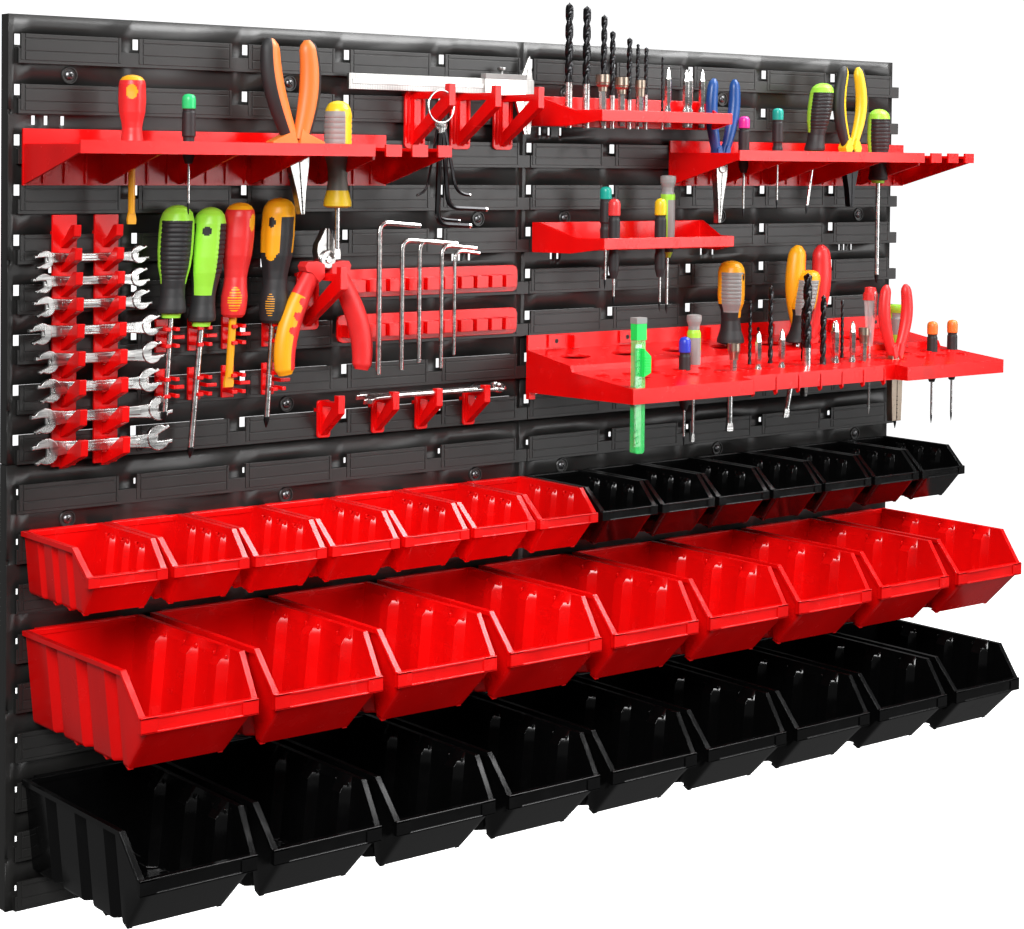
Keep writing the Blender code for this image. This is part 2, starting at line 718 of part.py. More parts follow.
def rack_mesh():
    """A wrench rack with z = 0 at its tab's top: a plate with prongs that grow towards its foot."""
    plate = back_plate(RACK_WIDTH, RACK_RISE, RACK_LENGTH)
    prongs = []
    z = RACK_RISE - PRONG_HEIGHT
    for i in range(PRONGS):
        reach = PRONG_REACH + i * PRONG_REACH_GROWTH
        front = PLATE_BACK - reach
        grow = 1 + i * PRONG_PITCH_GROWTH / PRONG_PITCH
        outline = [
            (PLATE_BACK, z - PRONG_HEIGHT * 0.5 * grow),
            (front, z + PRONG_HEIGHT * 0.1),
            (front - PRONG_TIP * 0.2, z + PRONG_HEIGHT * 0.6 * grow),
            (front + PRONG_TIP, z + PRONG_HEIGHT * 0.6 * grow),
            (PLATE_FRONT - PRONG_NOTCH * 0.4, z - PRONG_HEIGHT * 0.05),
            (PLATE_BACK, z - PRONG_HEIGHT * 0.05),
        ]
        prongs.append(slab("YZ", [outline], -PRONG_WIDTH / 2, PRONG_WIDTH / 2))
        z -= PRONG_PITCH + i * PRONG_PITCH_GROWTH
    return take(fuse(plate, joined=[merge(prongs), hook(RACK_WIDTH * 0.8)]))


def key_rail_mesh():
    """A hex-key rail with z = 0 at its tab's top: a plate with blocks that shrink along it."""
    half = KEY_RAIL_LENGTH / 2
    foot = PLATE_RISE - KEY_RAIL_HEIGHT
    outline = rounded(-half, half, foot, PLATE_RISE, 0.006)
    plate = slab("XZ", [outline], PLATE_FRONT, PLATE_BACK)
    blocks = []
    x = -half + KEY_NOTCH
    top = PLATE_RISE - KEY_BLOCK_DROP
    for i in range(KEY_BLOCKS):
        width = KEY_BLOCK_FIRST + (KEY_BLOCK_LAST - KEY_BLOCK_FIRST) * i / (KEY_BLOCKS - 1)
        blocks.append(
            box((x, x + width), (PLATE_BACK - KEY_BLOCK_REACH, PLATE_BACK), (top - KEY_BLOCK_HEIGHT, top))
        )
        x += width + KEY_NOTCH
    return take(fuse(plate, joined=[merge(blocks), hook(KEY_RAIL_LENGTH * 0.8)]))


def triangle_hook_mesh(width, height, reach, rise, bar):
    """A hook with z = 0 at its tab's top: a plate, and an arm that is an open triangle with a raised tip."""
    foot = rise - height
    plate = slab("XZ", [rounded(-width / 2, width / 2, foot, rise, width / 6)], PLATE_FRONT, PLATE_BACK)
    arm_top = rise - HANG_GAP
    outline = [
        (PLATE_BACK, arm_top),
        (PLATE_BACK, foot + bar),
        (PLATE_FRONT, foot + bar / 2),
        (-reach, arm_top - 2 * bar),
        (-reach, arm_top + HOOK_TIP_RISE),
        (HOOK_TIP - reach, arm_top + HOOK_TIP_RISE),
        (HOOK_TIP - reach, arm_top),
    ]
    inner_back = PLATE_FRONT - bar / 2
    window = [
        (inner_back, arm_top - bar),
        (inner_back, foot + 2.6 * bar),
        (bar - reach + HOOK_TIP, arm_top - bar),
    ]
    arm = slab("YZ", [outline, window], -HOOK_ARM / 2, HOOK_ARM / 2)
    return take(fuse(plate, joined=[arm, hook(width * 0.8)]))


def drill_mesh():
    """A twist drill's solid, turned round its own axis, with z = 0 at its shank's end."""
    profile = [(0.0, DRILL_LENGTH), (DRILL_RADIUS, DRILL_LENGTH - DRILL_POINT), (DRILL_RADIUS, 0.0), (0.0, 0.0)]
    mesh = bpy.data.meshes.new("drill")
    mesh.from_pydata([(r, 0.0, z) for r, z in profile], [(i, i + 1) for i in range(3)], [])
    obj = hold("drill", mesh)
    screw = obj.modifiers.new("Turn", "SCREW")
    screw.steps = screw.render_steps = 10
    screw.use_merge_vertices = True
    screw.merge_threshold = 1e-5
    turned = mesh_of(obj)
    drop(obj)
    return weld(turned)


def grip_mesh(side):
    """A bowed handle as a tube, from just under the pivot to its end."""
    curve = bpy.data.curves.new("grip", "CURVE")
    curve.dimensions = "3D"
    curve.bevel_depth = CUTTER_GRIP_RADIUS
    curve.bevel_resolution = 1
    curve.use_fill_caps = True
    spline = curve.splines.new("POLY")
    count = 8
    spline.points.add(count - 1)
    for i, point in enumerate(spline.points):
        along = i / (count - 1)
        out = CUTTER_GRIP_START + CUTTER_HANDLE_BOW * math.sin(math.pi * 0.62 * along)
        down = CUTTER_DISC + CUTTER_GRIP_RADIUS + (CUTTER_HANDLE - CUTTER_DISC) * along
        point.co = (side * out, 0.0, -down, 1.0)
    obj = bpy.data.objects.new("grip", curve)
    HELPERS.objects.link(obj)
    mesh = weld(mesh_of(obj))
    drop(obj)
    return hold("grip", mesh)


def cutter_half_mesh(side):
    """Half of the side cutters about its pivot: its jaw is on one side and its handle on the other."""
    near, far = (CUTTER_LAP_GAP / 2, CUTTER_LAP) if side > 0 else (-CUTTER_LAP, -CUTTER_LAP_GAP / 2)
    disc = rod((0.0, 0.0), CUTTER_DISC, near, far, 12)
    gap = CUTTER_LAP_GAP
    neck = [
        (-side * CUTTER_DISC * 0.3, CUTTER_DISC * 0.5),
        (-side * CUTTER_DISC * 0.8, -CUTTER_DISC * 0.3),
        (-side * (CUTTER_DISC + CUTTER_GRIP_RADIUS), -2.6 * CUTTER_DISC),
        (-side * CUTTER_DISC * 0.85, -2.6 * CUTTER_DISC),
        (-side * CUTTER_DISC * 0.65, -1.35 * CUTTER_DISC),
        (side * CUTTER_DISC * 0.1, -CUTTER_DISC * 0.85),
    ]
    cheek = [
        (side * gap, CUTTER_DISC * 0.2),
        (side * CUTTER_JAW_WIDTH * 0.7, CUTTER_DISC * 0.2),
        (side * CUTTER_JAW_WIDTH, CUTTER_DISC * 1.6),
        (side * CUTTER_JAW_WIDTH * 0.25, CUTTER_JAW),
        (side * gap, CUTTER_JAW),
    ]
    jaw = [
        (side * gap, CUTTER_DISC * 1.15),
        (side * CUTTER_JAW_WIDTH * 0.95, CUTTER_DISC * 1.15),
        (side * CUTTER_JAW_WIDTH, CUTTER_DISC * 1.6),
        (side * CUTTER_JAW_WIDTH * 0.25, CUTTER_JAW),
        (side * gap, CUTTER_JAW),
    ]
    joined = [
        slab("XZ", [neck], near, far),
        slab("XZ", [cheek], near, far),
        slab("XZ", [jaw], -CUTTER_LAP, CUTTER_LAP),
        grip_mesh(-side),
    ]
    return take(fuse(disc, joined=joined))


def build_panels(material):
    mesh = panel_mesh()
    for row in range(PANEL_ROWS):
        for column in range(PANEL_COLUMNS):
            name = f"panel_{('lower', 'upper')[row]}_{('left', 'right')[column]}"
            corner = ((column - PANEL_COLUMNS / 2) * PANEL_WIDTH, (row - PANEL_ROWS / 2) * PANEL_HEIGHT)
            place(name, mesh, material, (corner[0], 0.0, corner[1]))


def build_bins(red, black):
    small = bin_mesh(
        SMALL_WIDTH, SMALL_HEIGHT, SMALL_RIM_REACH, SMALL_REACH, SMALL_FOOT_REACH, SMALL_LIP_DROP, SMALL_LIP
    )
    large = bin_mesh(
        LARGE_WIDTH, LARGE_HEIGHT, LARGE_RIM_REACH, LARGE_REACH, LARGE_FOOT_REACH, LARGE_LIP_DROP, LARGE_LIP
    )
    rim = tab_top(0, SMALL_RAIL) + HOOK_TOP
    for i in range(SMALL_BINS):
        left = i < SMALL_BINS // 2
        name = f"small_bin_{'red' if left else 'black'}_{i % (SMALL_BINS // 2) + 1}"
        x = (i - (SMALL_BINS - 1) / 2) * SMALL_PITCH
        place(name, small, red if left else black, (x, 0.0, rim))
    for rail, colour, material in zip(LARGE_RAILS, ("red", "black"), (red, black)):
        for i in range(LARGE_BINS):
            x = (i - (LARGE_BINS - 1) / 2) * LARGE_PITCH
            place(f"large_bin_{colour}_{i + 1}", large, material, (x, 0.0, tab_top(0, rail) + HOOK_TOP))


def build_holders(red, steel):
    shelf = long_shelf_mesh()
    for x, side in zip(SHELF_CENTRES, ("left", "right")):
        place(f"long_shelf_{side}", shelf, red, (x, 0.0, tab_top(1, SHELF_RAIL)))
    bit_shelf = bit_shelf_mesh()
    for (x, rail), level in zip(BIT_SHELF_CENTRES, ("upper", "lower")):
        place(f"bit_shelf_{level}", bit_shelf, red, (x, 0.0, tab_top(1, rail)))
    drill = drill_mesh()
    for i, hole in enumerate(DRILL_HOLES):
        x = BIT_SHELF_CENTRES[0][0] + (hole - (BIT_HOLES - 1) / 2) * BIT_HOLE_PITCH
        place(f"tall_drill_{i + 1}", drill, steel, (x, -BIT_HOLE_REACH, DRILL_TOP - DRILL_LENGTH))
    place("tool_tray", tray_mesh(), red, (TRAY_CENTRE, 0.0, tab_top(1, TRAY_RAIL)))
    rack = rack_mesh()
    for x, side in zip(RACK_CENTRES, ("left", "right")):
        place(f"wrench_rack_{side}", rack, red, (x, 0.0, tab_top(1, RACK_RAIL)))
    key_rail = key_rail_mesh()
    for rail, level in zip(KEY_RAILS, ("upper", "lower")):
        place(f"key_rail_{level}", key_rail, red, (KEY_RAIL_CENTRE, 0.0, tab_top(1, rail)))
    large = triangle_hook_mesh(HOOK_WIDTH, HOOK_HEIGHT, HOOK_REACH, PLATE_RISE, HOOK_BAR)
    for i, (x, rail) in enumerate(LARGE_HOOKS):
        place(f"large_hook_{i + 1}", large, red, (x, 0.0, tab_top(1, rail)))
    small = triangle_hook_mesh(
        SMALL_HOOK_WIDTH, SMALL_HOOK_HEIGHT, SMALL_HOOK_REACH, SMALL_HOOK_RISE, SMALL_HOOK_BAR
    )
    for i, x in enumerate(SMALL_HOOKS):
        place(f"small_hook_{i + 1}", small, red, (x, 0.0, tab_top(1, SMALL_HOOK_RAIL)))


def build_cutters(material):
    """Side cutters that straddle the fourth large hook, both halves turned about one pivot."""
    x, rail = LARGE_HOOKS[3]
    z = tab_top(1, rail) + PLATE_RISE + CUTTER_PIVOT_RISE
    pivot = bpy.data.objects.new("cutter_pivot", None)
    pivot.location = (x, -CUTTER_REACH, z)
    PARTS.objects.link(pivot)
    for side, name in ((1, "cutter_half_left"), (-1, "cutter_half_right")):
        half = place(name, cutter_half_mesh(side), material)
        half.parent = pivot
        half.rotation_euler = (0.0, side * CUTTER_OPEN, 0.0)


def main():
    red = finish("red plastic", RED, 0.35)
    black = finish("black plastic", BLACK, 0.25)
    build_panels(finish("board plastic", CHARCOAL, 0.5))
    build_bins(red, black)
    build_holders(red, finish("steel", STEEL, 0.3, 1.0))
    build_cutters(finish("cutter grips", RED, 0.4))


clear_scene()
PARTS = collection("tool_wall")
HELPERS = collection("helpers")
HELPERS.hide_render = True
main()
bpy.data.collections.remove(HELPERS)
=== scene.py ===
"""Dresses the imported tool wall: detailed mouldings, the hand tools it carries, finishes, light and camera.

Metres, +Z up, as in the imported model: the board's back is the plane y = 0 and its front faces -Y.
"""

from __future__ import annotations

import json
import logging
import math
from dataclasses import dataclass
from enum import Enum
from typing import ClassVar, Sequence

import bmesh
import bpy
import numpy as np
from mathutils import Matrix

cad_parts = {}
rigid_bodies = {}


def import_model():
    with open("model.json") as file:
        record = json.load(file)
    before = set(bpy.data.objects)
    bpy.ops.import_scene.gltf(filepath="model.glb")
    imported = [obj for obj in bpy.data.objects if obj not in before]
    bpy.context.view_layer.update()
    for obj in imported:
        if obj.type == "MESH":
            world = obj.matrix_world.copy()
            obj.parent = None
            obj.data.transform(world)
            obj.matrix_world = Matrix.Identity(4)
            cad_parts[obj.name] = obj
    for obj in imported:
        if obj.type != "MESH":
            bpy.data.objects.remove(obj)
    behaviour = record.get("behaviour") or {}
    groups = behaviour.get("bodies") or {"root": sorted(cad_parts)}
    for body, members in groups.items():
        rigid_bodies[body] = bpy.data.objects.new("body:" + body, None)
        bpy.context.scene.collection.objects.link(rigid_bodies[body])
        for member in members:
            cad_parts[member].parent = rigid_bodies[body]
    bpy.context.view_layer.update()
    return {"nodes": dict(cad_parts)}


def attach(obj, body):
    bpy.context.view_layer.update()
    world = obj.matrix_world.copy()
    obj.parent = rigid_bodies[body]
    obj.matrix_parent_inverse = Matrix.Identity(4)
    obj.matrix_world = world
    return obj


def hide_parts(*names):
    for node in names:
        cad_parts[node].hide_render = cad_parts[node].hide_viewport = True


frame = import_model()

Colour = tuple[float, float, float]
Point = tuple[float, float, float]
LOG = logging.getLogger("tool_wall")

PANEL_WIDTH, PANEL_HEIGHT = 0.576, 0.390
RAILS, TABS = 9, 5
FIRST_TAB_DROP = 0.01715
TAB_HEIGHT = 0.0127
RAIL_PITCH = PANEL_HEIGHT / RAILS
HOOK_TOP = 0.0028
SHARP_EDGE = math.radians(32)


def tab_top(panel_row: int, rail: int) -> float:
    """Height of a rail's tabs.

    Args:
        panel_row: 0 for the lower panels, 1 for the upper ones.
        rail: 0 for a panel's top rail.

    Returns:
        The height in metres.
    """
    return (panel_row - 1) * PANEL_HEIGHT + PANEL_HEIGHT - FIRST_TAB_DROP - rail * RAIL_PITCH


class Signal:
    """A shader socket that takes part in arithmetic: each operator adds its Math node."""

    def __init__(self, graph: Graph, socket: bpy.types.NodeSocket) -> None:
        """Keeps the socket and the graph it belongs to."""
        self.graph = graph
        self.socket = socket

    def __add__(self, other: Signal | float) -> Signal:
        """Adds."""
        return self.graph.maths("ADD", self, other)

    __radd__ = __add__

    def __mul__(self, other: Signal | float) -> Signal:
        """Multiplies."""
        return self.graph.maths("MULTIPLY", self, other)

    __rmul__ = __mul__

    def __sub__(self, other: Signal | float) -> Signal:
        """Takes other away."""
        return self.graph.maths("SUBTRACT", self, other)

    def __rsub__(self, other: Signal | float) -> Signal:
        """Takes this away from other."""
        return self.graph.maths("SUBTRACT", other, self)

    def above(self, low: float, high: float) -> Signal:
        """A mask that rises from 0 at low to 1 at high."""
        ends = {"Value": self, "From Min": low, "From Max": high}
        return self.graph.node("MapRange", {"clamp": True}, ends)


class Graph:
    """The nodes of one material round its Principled shader."""

    def __init__(self, name: str) -> None:
        """Makes the material."""
        self.material = bpy.data.materials.new(name)
        self.material.use_nodes = True
        self.tree = self.material.node_tree
        self.shader = self.tree.nodes["Principled BSDF"]

    def feed(self, socket: bpy.types.NodeSocket, value: Signal | float | Sequence[float]) -> None:
        """Links a signal to the socket, or sets its constant."""
        if isinstance(value, Signal):
            self.tree.links.new(value.socket, socket)
        else:
            socket.default_value = value

    def node(
        self, kind: str, settings: dict | None = None, inputs: dict | None = None, output: str | int = 0
    ) -> Signal:
        """Adds any node.

        Args:
            kind: the node's type after "ShaderNode".
            settings: its properties, which are set first.
            inputs: values or signals for its sockets, by name or number.
            output: which output to return.

        Returns:
            That output as a signal.
        """
        made = self.tree.nodes.new("ShaderNode" + kind)
        for key, value in (settings or {}).items():
            setattr(made, key, value)
        for key, value in (inputs or {}).items():
            self.feed(made.inputs[key], value)
        return Signal(self, made.outputs[output])

    def maths(self, operation: str, first: Signal | float, second: Signal | float) -> Signal:
        """One Math node."""
        return self.node("Math", {"operation": operation}, {0: first, 1: second})

    def place(self, scale: Point = (1.0, 1.0, 1.0)) -> Signal:
        """Object coordinates, stretched along each axis."""
        found = self.node("TexCoord", output="Object")
        return self.node("VectorMath", {"operation": "MULTIPLY"}, {0: found, 1: scale})

    def noise(self, where: Signal, scale: float, detail: float = 2.0) -> Signal:
        """Noise whose grain is 1 / scale metres."""
        return self.node("TexNoise", None, {"Vector": where, "Scale": scale, "Detail": detail})

    def mix(self, share: Signal | float, first: Signal | Colour, second: Signal | Colour) -> Signal:
        """A colour between two, by share."""
        sockets = {0: share, 6: self.opaque(first), 7: self.opaque(second)}
        return self.node("Mix", {"data_type": "RGBA"}, sockets, 2)

    @staticmethod
    def opaque(colour: Signal | Colour) -> Signal | tuple[float, ...]:
        """A constant colour with its fourth number, or the signal as it is."""
        return colour if isinstance(colour, Signal) else (*colour, 1.0)

    def bump(self, height: Signal, distance: float, strength: float = 1.0) -> None:
        """Feeds the normal from a height."""
        sockets = {"Height": height, "Distance": distance, "Strength": strength}
        self.feed(self.shader.inputs["Normal"], self.node("Bump", None, sockets))

    def set(self, **values: Signal | float | tuple) -> None:
        """Sets sockets of the shader, named with _ for a space."""
        for key, value in values.items():
            self.feed(self.shader.inputs[key.replace("_", " ")], value)


@dataclass(frozen=True)
class Finish:
    """What every finish has: a name, a colour and a roughness."""

    name: str
    colour: Colour
    roughness: float = 0.35

    def material(self) -> bpy.types.Material:
        """The finish's material, made once, under a name that no CAD material has."""
        name = f"{self.name}_finish"
        return bpy.data.materials.get(name) or self.build(Graph(name))

    def build(self, graph: Graph) -> bpy.types.Material:
        """Fills the graph; each kind of finish has its own."""
        raise NotImplementedError


@dataclass(frozen=True)
class Moulded(Finish):
    """Moulded plastic: fine grain, faint flow marks, an uneven sheen and a little handling dust."""

    coat: float = 0.0
    grain: float = 0.00006
    dust: float = 0.10
    shine: float = 0.5

    def build(self, graph: Graph) -> bpy.types.Material:
        """Flow marks run down the piece; dust gathers in soft patches and dulls the sheen."""
        flow = graph.noise(graph.place((14.0, 14.0, 3.0)), 1.0, 3.0)
        grain = graph.noise(graph.place(), 1500.0)
        patches = graph.noise(graph.place(), 55.0, 6.0).above(0.52, 0.80)
        dark = tuple(0.72 * part for part in self.colour)
        light = tuple(min(1.0, 0.94 * part + 0.06) for part in self.colour)
        shade = graph.mix(flow.above(0.25, 0.60), dark, self.colour)
        graph.set(
            Base_Color=graph.mix(patches * self.dust, shade, light),
            Roughness=self.roughness + patches * 0.12 + (flow - 0.5) * 0.10,
            Coat_Weight=self.coat,
            Coat_Roughness=0.12,
            Specular_IOR_Level=self.shine,
        )
        graph.bump(grain + flow * 2.0, self.grain)
        return graph.material


@dataclass(frozen=True)
class Metal(Finish):
    """Plated or ground metal: lines left by polishing, smears, small dark marks and bands of painted dark
    reflection.
    """

    lines: Point = (60.0, 60.0, 900.0)
    marks: float = 0.5
    # streaks: the share of the bands of painted dark reflection mixed into the colour.
    streaks: float = 0.0

    def build(self, graph: Graph) -> bpy.types.Material:
        """Polishing lines are noise stretched along one axis; stretched near-black bands are a painted
        reflection.
        """
        lines = graph.noise(graph.place(self.lines), 1.0, 3.0)
        smears = graph.noise(graph.place(), 45.0, 4.0)
        marks = graph.noise(graph.place(), 260.0, 5.0).above(0.60, 0.74)
        dark = tuple(0.35 * part for part in self.colour)
        painted_dark_reflection = tuple(0.06 * part for part in self.colour)
        # Painted reflection: stretched bands darken the colour where the metal would mirror dark
        # surroundings.
        dark_reflection_bands = graph.noise(graph.place((45.0, 180.0, 260.0)), 1.0, 2.0).above(0.47, 0.62)
        plain = graph.mix(marks * self.marks, self.colour, dark)
        graph.set(
            Base_Color=graph.mix(dark_reflection_bands * self.streaks, plain, painted_dark_reflection),
            Metallic=1.0,
            Roughness=self.roughness + (smears - 0.5) * 0.20 + lines * 0.06,
        )
        graph.bump(lines, 0.00005)
        return graph.material


@dataclass(frozen=True)
class Graduated(Finish):
    """Satin steel with fine dark lines across it, a pitch apart along X."""

    pitch: float = 0.002

    def build(self, graph: Graph) -> bpy.types.Material:
        """A line is dark where the place along X, in pitches, has just passed a whole number."""
        along = graph.node("SeparateXYZ", None, {0: graph.place()}, "X")
        step = graph.maths("FRACT", along * (1.0 / self.pitch), 0.0)
        line = 1.0 - step.above(0.25, 0.35)
        smears = graph.noise(graph.place(), 40.0, 4.0)
        graph.set(
            Base_Color=graph.mix(line * 0.55, self.colour, (0.12, 0.12, 0.12)),
            Metallic=1.0 - line * 0.6,
            Roughness=self.roughness + (smears - 0.5) * 0.15,
        )
        graph.bump(line, -0.00004)
        return graph.material


@dataclass(frozen=True)
class Clear(Finish):
    """Tinted see-through plastic with soft streaks."""

    alpha: float = 0.5

    def build(self, graph: Graph) -> bpy.types.Material:
        """Streaks run down the piece and make it a little denser."""
        streaks = graph.noise(graph.place((90.0, 90.0, 12.0)), 1.0, 3.0)
        pale = tuple(0.7 * part + 0.3 for part in self.colour)
        graph.set(
            Base_Color=graph.mix(streaks.above(0.35, 0.75) * 0.5, self.colour, pale),
            Roughness=self.roughness + streaks * 0.08,
            Alpha=self.alpha + (streaks - 0.5) * 0.3,
            Coat_Weight=0.6,
        )
        graph.bump(streaks, 0.0002)
        return graph.material


@dataclass(frozen=True)
class Paper(Finish):
    """The backdrop's matt paper, which glows a little so that it stays white."""

    glow: float = 0.95

    def build(self, graph: Graph) -> bpy.types.Material:
        """A fine even grain."""
        grain = graph.noise(graph.place(), 300.0)
        graph.set(
            Base_Color=graph.mix(grain, self.colour, (0.96, 0.96, 0.96)),
            Roughness=self.roughness,
            Emission_Color=(1.0, 1.0, 1.0, 1.0),
            Emission_Strength=self.glow,
        )
        return graph.material


BOARD = Moulded("board_plastic", (0.021, 0.0205, 0.0197), 0.36, grain=0.000030, dust=0.04, shine=0.45)
RED = Moulded("red_plastic", (0.80, 0.0030, 0.0030), 0.22, coat=0.10, grain=0.000012, dust=0.02, shine=0.35)
BLACK = Moulded(
    "black_plastic", (0.0022, 0.0022, 0.0023), 0.16, coat=0.15, grain=0.000008, dust=0.01, shine=0.30
)
RED_GRIP = Moulded("red_grip", (0.82, 0.030, 0.030), 0.36, shine=0.4)
ORANGE = Moulded("orange_grip", (0.90, 0.22, 0.035), 0.40)
AMBER = Moulded("amber_grip", (0.95, 0.42, 0.010), 0.36, shine=0.4)
YELLOW = Moulded("yellow_grip", (0.90, 0.62, 0.02), 0.36)
LIME = Moulded("lime_grip", (0.38, 0.84, 0.06), 0.34, shine=0.4)
RUBBER = Moulded("black_rubber", (0.018, 0.018, 0.019), 0.55, dust=0.12)
GREY = Moulded("grey_grip", (0.30, 0.30, 0.29), 0.50)
BLUE = Moulded("blue_grip", (0.012, 0.085, 0.33), 0.32)
GREEN_CAP = Moulded("green_cap", (0.03, 0.66, 0.20), 0.30)
TEAL_CAP = Moulded("teal_cap", (0.01, 0.42, 0.33), 0.30)
PINK_CAP = Moulded("pink_cap", (0.72, 0.03, 0.34), 0.30)
BLUE_CAP = Moulded("blue_cap", (0.03, 0.06, 0.62), 0.30)
RED_CAP = Moulded("red_cap", (0.78, 0.05, 0.05), 0.30)
KNIFE_GREEN = Moulded("knife_green", (0.02, 0.84, 0.12), 0.30, shine=0.3)
GREY_DARK = Moulded("dark_grey_grip", (0.13, 0.13, 0.11), 0.50)
# Painted shade: a near-black finish put in holes, slots and grooves where only shade falls.
PAINTED_RECESS_SHADE = Moulded("painted_recess_shade", (0.004, 0.004, 0.004), 0.60)
CHROME = Metal("chrome", (0.66, 0.655, 0.64), 0.24, lines=(600.0, 60.0, 60.0), marks=0.10, streaks=0.55)
STEEL = Metal("ground_steel", (0.50, 0.49, 0.475), 0.27, streaks=0.3)
BRIGHT = Metal("bright_steel", (0.88, 0.87, 0.85), 0.22, streaks=0.35)
BRONZE = Metal("bronzed_steel", (0.42, 0.34, 0.27), 0.32)
OXIDE = Metal("black_oxide", (0.045, 0.045, 0.047), 0.30, marks=0.3)
SCREW = Metal("screw_steel", (0.20, 0.20, 0.205), 0.34, marks=0.3)
RULE = Graduated("graduated_steel", (0.46, 0.455, 0.44), 0.34)
GREEN_CLEAR = Clear("green_clear", (0.015, 0.86, 0.16), 0.15, alpha=0.48)
CLEAR = Clear("clear_plastic", (0.85, 0.80, 0.80), 0.08, alpha=0.35)
BACKDROP = Paper("backdrop", (0.93, 0.93, 0.93), 0.85)


def eased(values: np.ndarray, low: float, high: float) -> np.ndarray:
    """0 below low, 1 above high, and a smooth rise between."""
    share = np.clip((values - low) / (high - low), 0.0, 1.0)
    return share * share * (3 - 2 * share)


def turned_by(axis: int, degrees: float) -> np.ndarray:
    """The matrix of a turn about one axis."""
    cosine, sine = math.cos(math.radians(degrees)), math.sin(math.radians(degrees))
    matrix = np.eye(3)
    first, second = [i for i in range(3) if i != axis]
    sign = -1.0 if axis == 1 else 1.0
    matrix[first, first] = matrix[second, second] = cosine
    matrix[first, second], matrix[second, first] = -sign * sine, sign * sine
    return matrix


def arc(centre: Sequence[float], radius: float, start: float, end: float, count: int) -> np.ndarray:
    """Points on a circle: centre plus radius times the cosine and sine of even steps of angle.

    Args:
        centre: the circle's centre in its plane.
        radius: its radius.
        start: the first angle in degrees.
        end: the last angle in degrees.
        count: how many points.

    Returns:
        The points, one row each.
    """
    angle = np.radians(np.linspace(start, end, count))
    return np.asarray(centre) + radius * np.stack([np.cos(angle), np.sin(angle)], axis=-1)


def bent(corners: Sequence[Point], radius: float, steps: int = 5) -> np.ndarray:
    """A path through corners that are rounded.

    Each corner is a parabola: (1-t)^2 times the point before it, 2t(1-t) times the corner and t^2 times
    the point after it, where both points are a radius away.

    Args:
        corners: the path's corners.
        radius: how far from its corner a bend starts.
        steps: points in each bend.

    Returns:
        The path's points, one row each.
    """
    points = np.asarray(corners, float)
    pieces = [points[:1]]
    share = np.linspace(0.0, 1.0, steps)[:, None]
    for before, corner, after in zip(points, points[1:], points[2:]):
        near = corner + (before - corner) * radius / np.linalg.norm(before - corner)
        far = corner + (after - corner) * radius / np.linalg.norm(after - corner)
        pieces.append((1 - share) ** 2 * near + 2 * share * (1 - share) * corner + share**2 * far)
    return np.concatenate([*pieces, points[-1:]])


def upright(loop: np.ndarray, y: float) -> np.ndarray:
    """A flat loop stood up at a depth: its first number is x and its second the height."""
    return np.stack([loop[:, 0], np.full(len(loop), y), loop[:, 1]], axis=-1)


def evenly(path: np.ndarray, count: int) -> np.ndarray:
    """The same path with its points spread evenly along its length.

    Args:
        path: its points, one row each.
        count: how many points to return.

    Returns:
        The new points.
    """
    gone = np.concatenate([[0.0], np.cumsum(np.linalg.norm(np.diff(path, axis=0), axis=1))])
    marks = np.linspace(0.0, gone[-1], count)
    return np.stack([np.interp(marks, gone, column) for column in path.T], axis=-1)


@dataclass(frozen=True)
class Patch:
    """A zone of another finish on a turned surface, by share of its length and by angle."""

    finish: Finish
    start: float
    end: float
    facing: float = 0.0
    spread: float = 360.0
    oval: bool = False
    stripes: int = 0

    def covers(self, along: np.ndarray, angle: np.ndarray) -> np.ndarray:
        """True where a face is in the zone.

        An oval zone holds the faces for which the squares of the two offsets, each in shares of its half
        width, add up to under 1. Stripes keep every other band of the zone.

        Args:
            along: each row's share of the length, as a column.
            angle: each column's angle in degrees.

        Returns:
            The mask, a row for each share.
        """
        away = np.abs((angle - self.facing + 180.0) % 360.0 - 180.0) * 2.0 / self.spread
        middle, half = (self.start + self.end) / 2, (self.end - self.start) / 2
        down = np.abs(along - middle) / half
        inside = down**2 + away**2 < 1.0 if self.oval else (down < 1.0) & (away < 1.0)
        if self.stripes:
            inside = inside & ((along - self.start) / half * self.stripes % 1.0 < 0.5)
        return inside


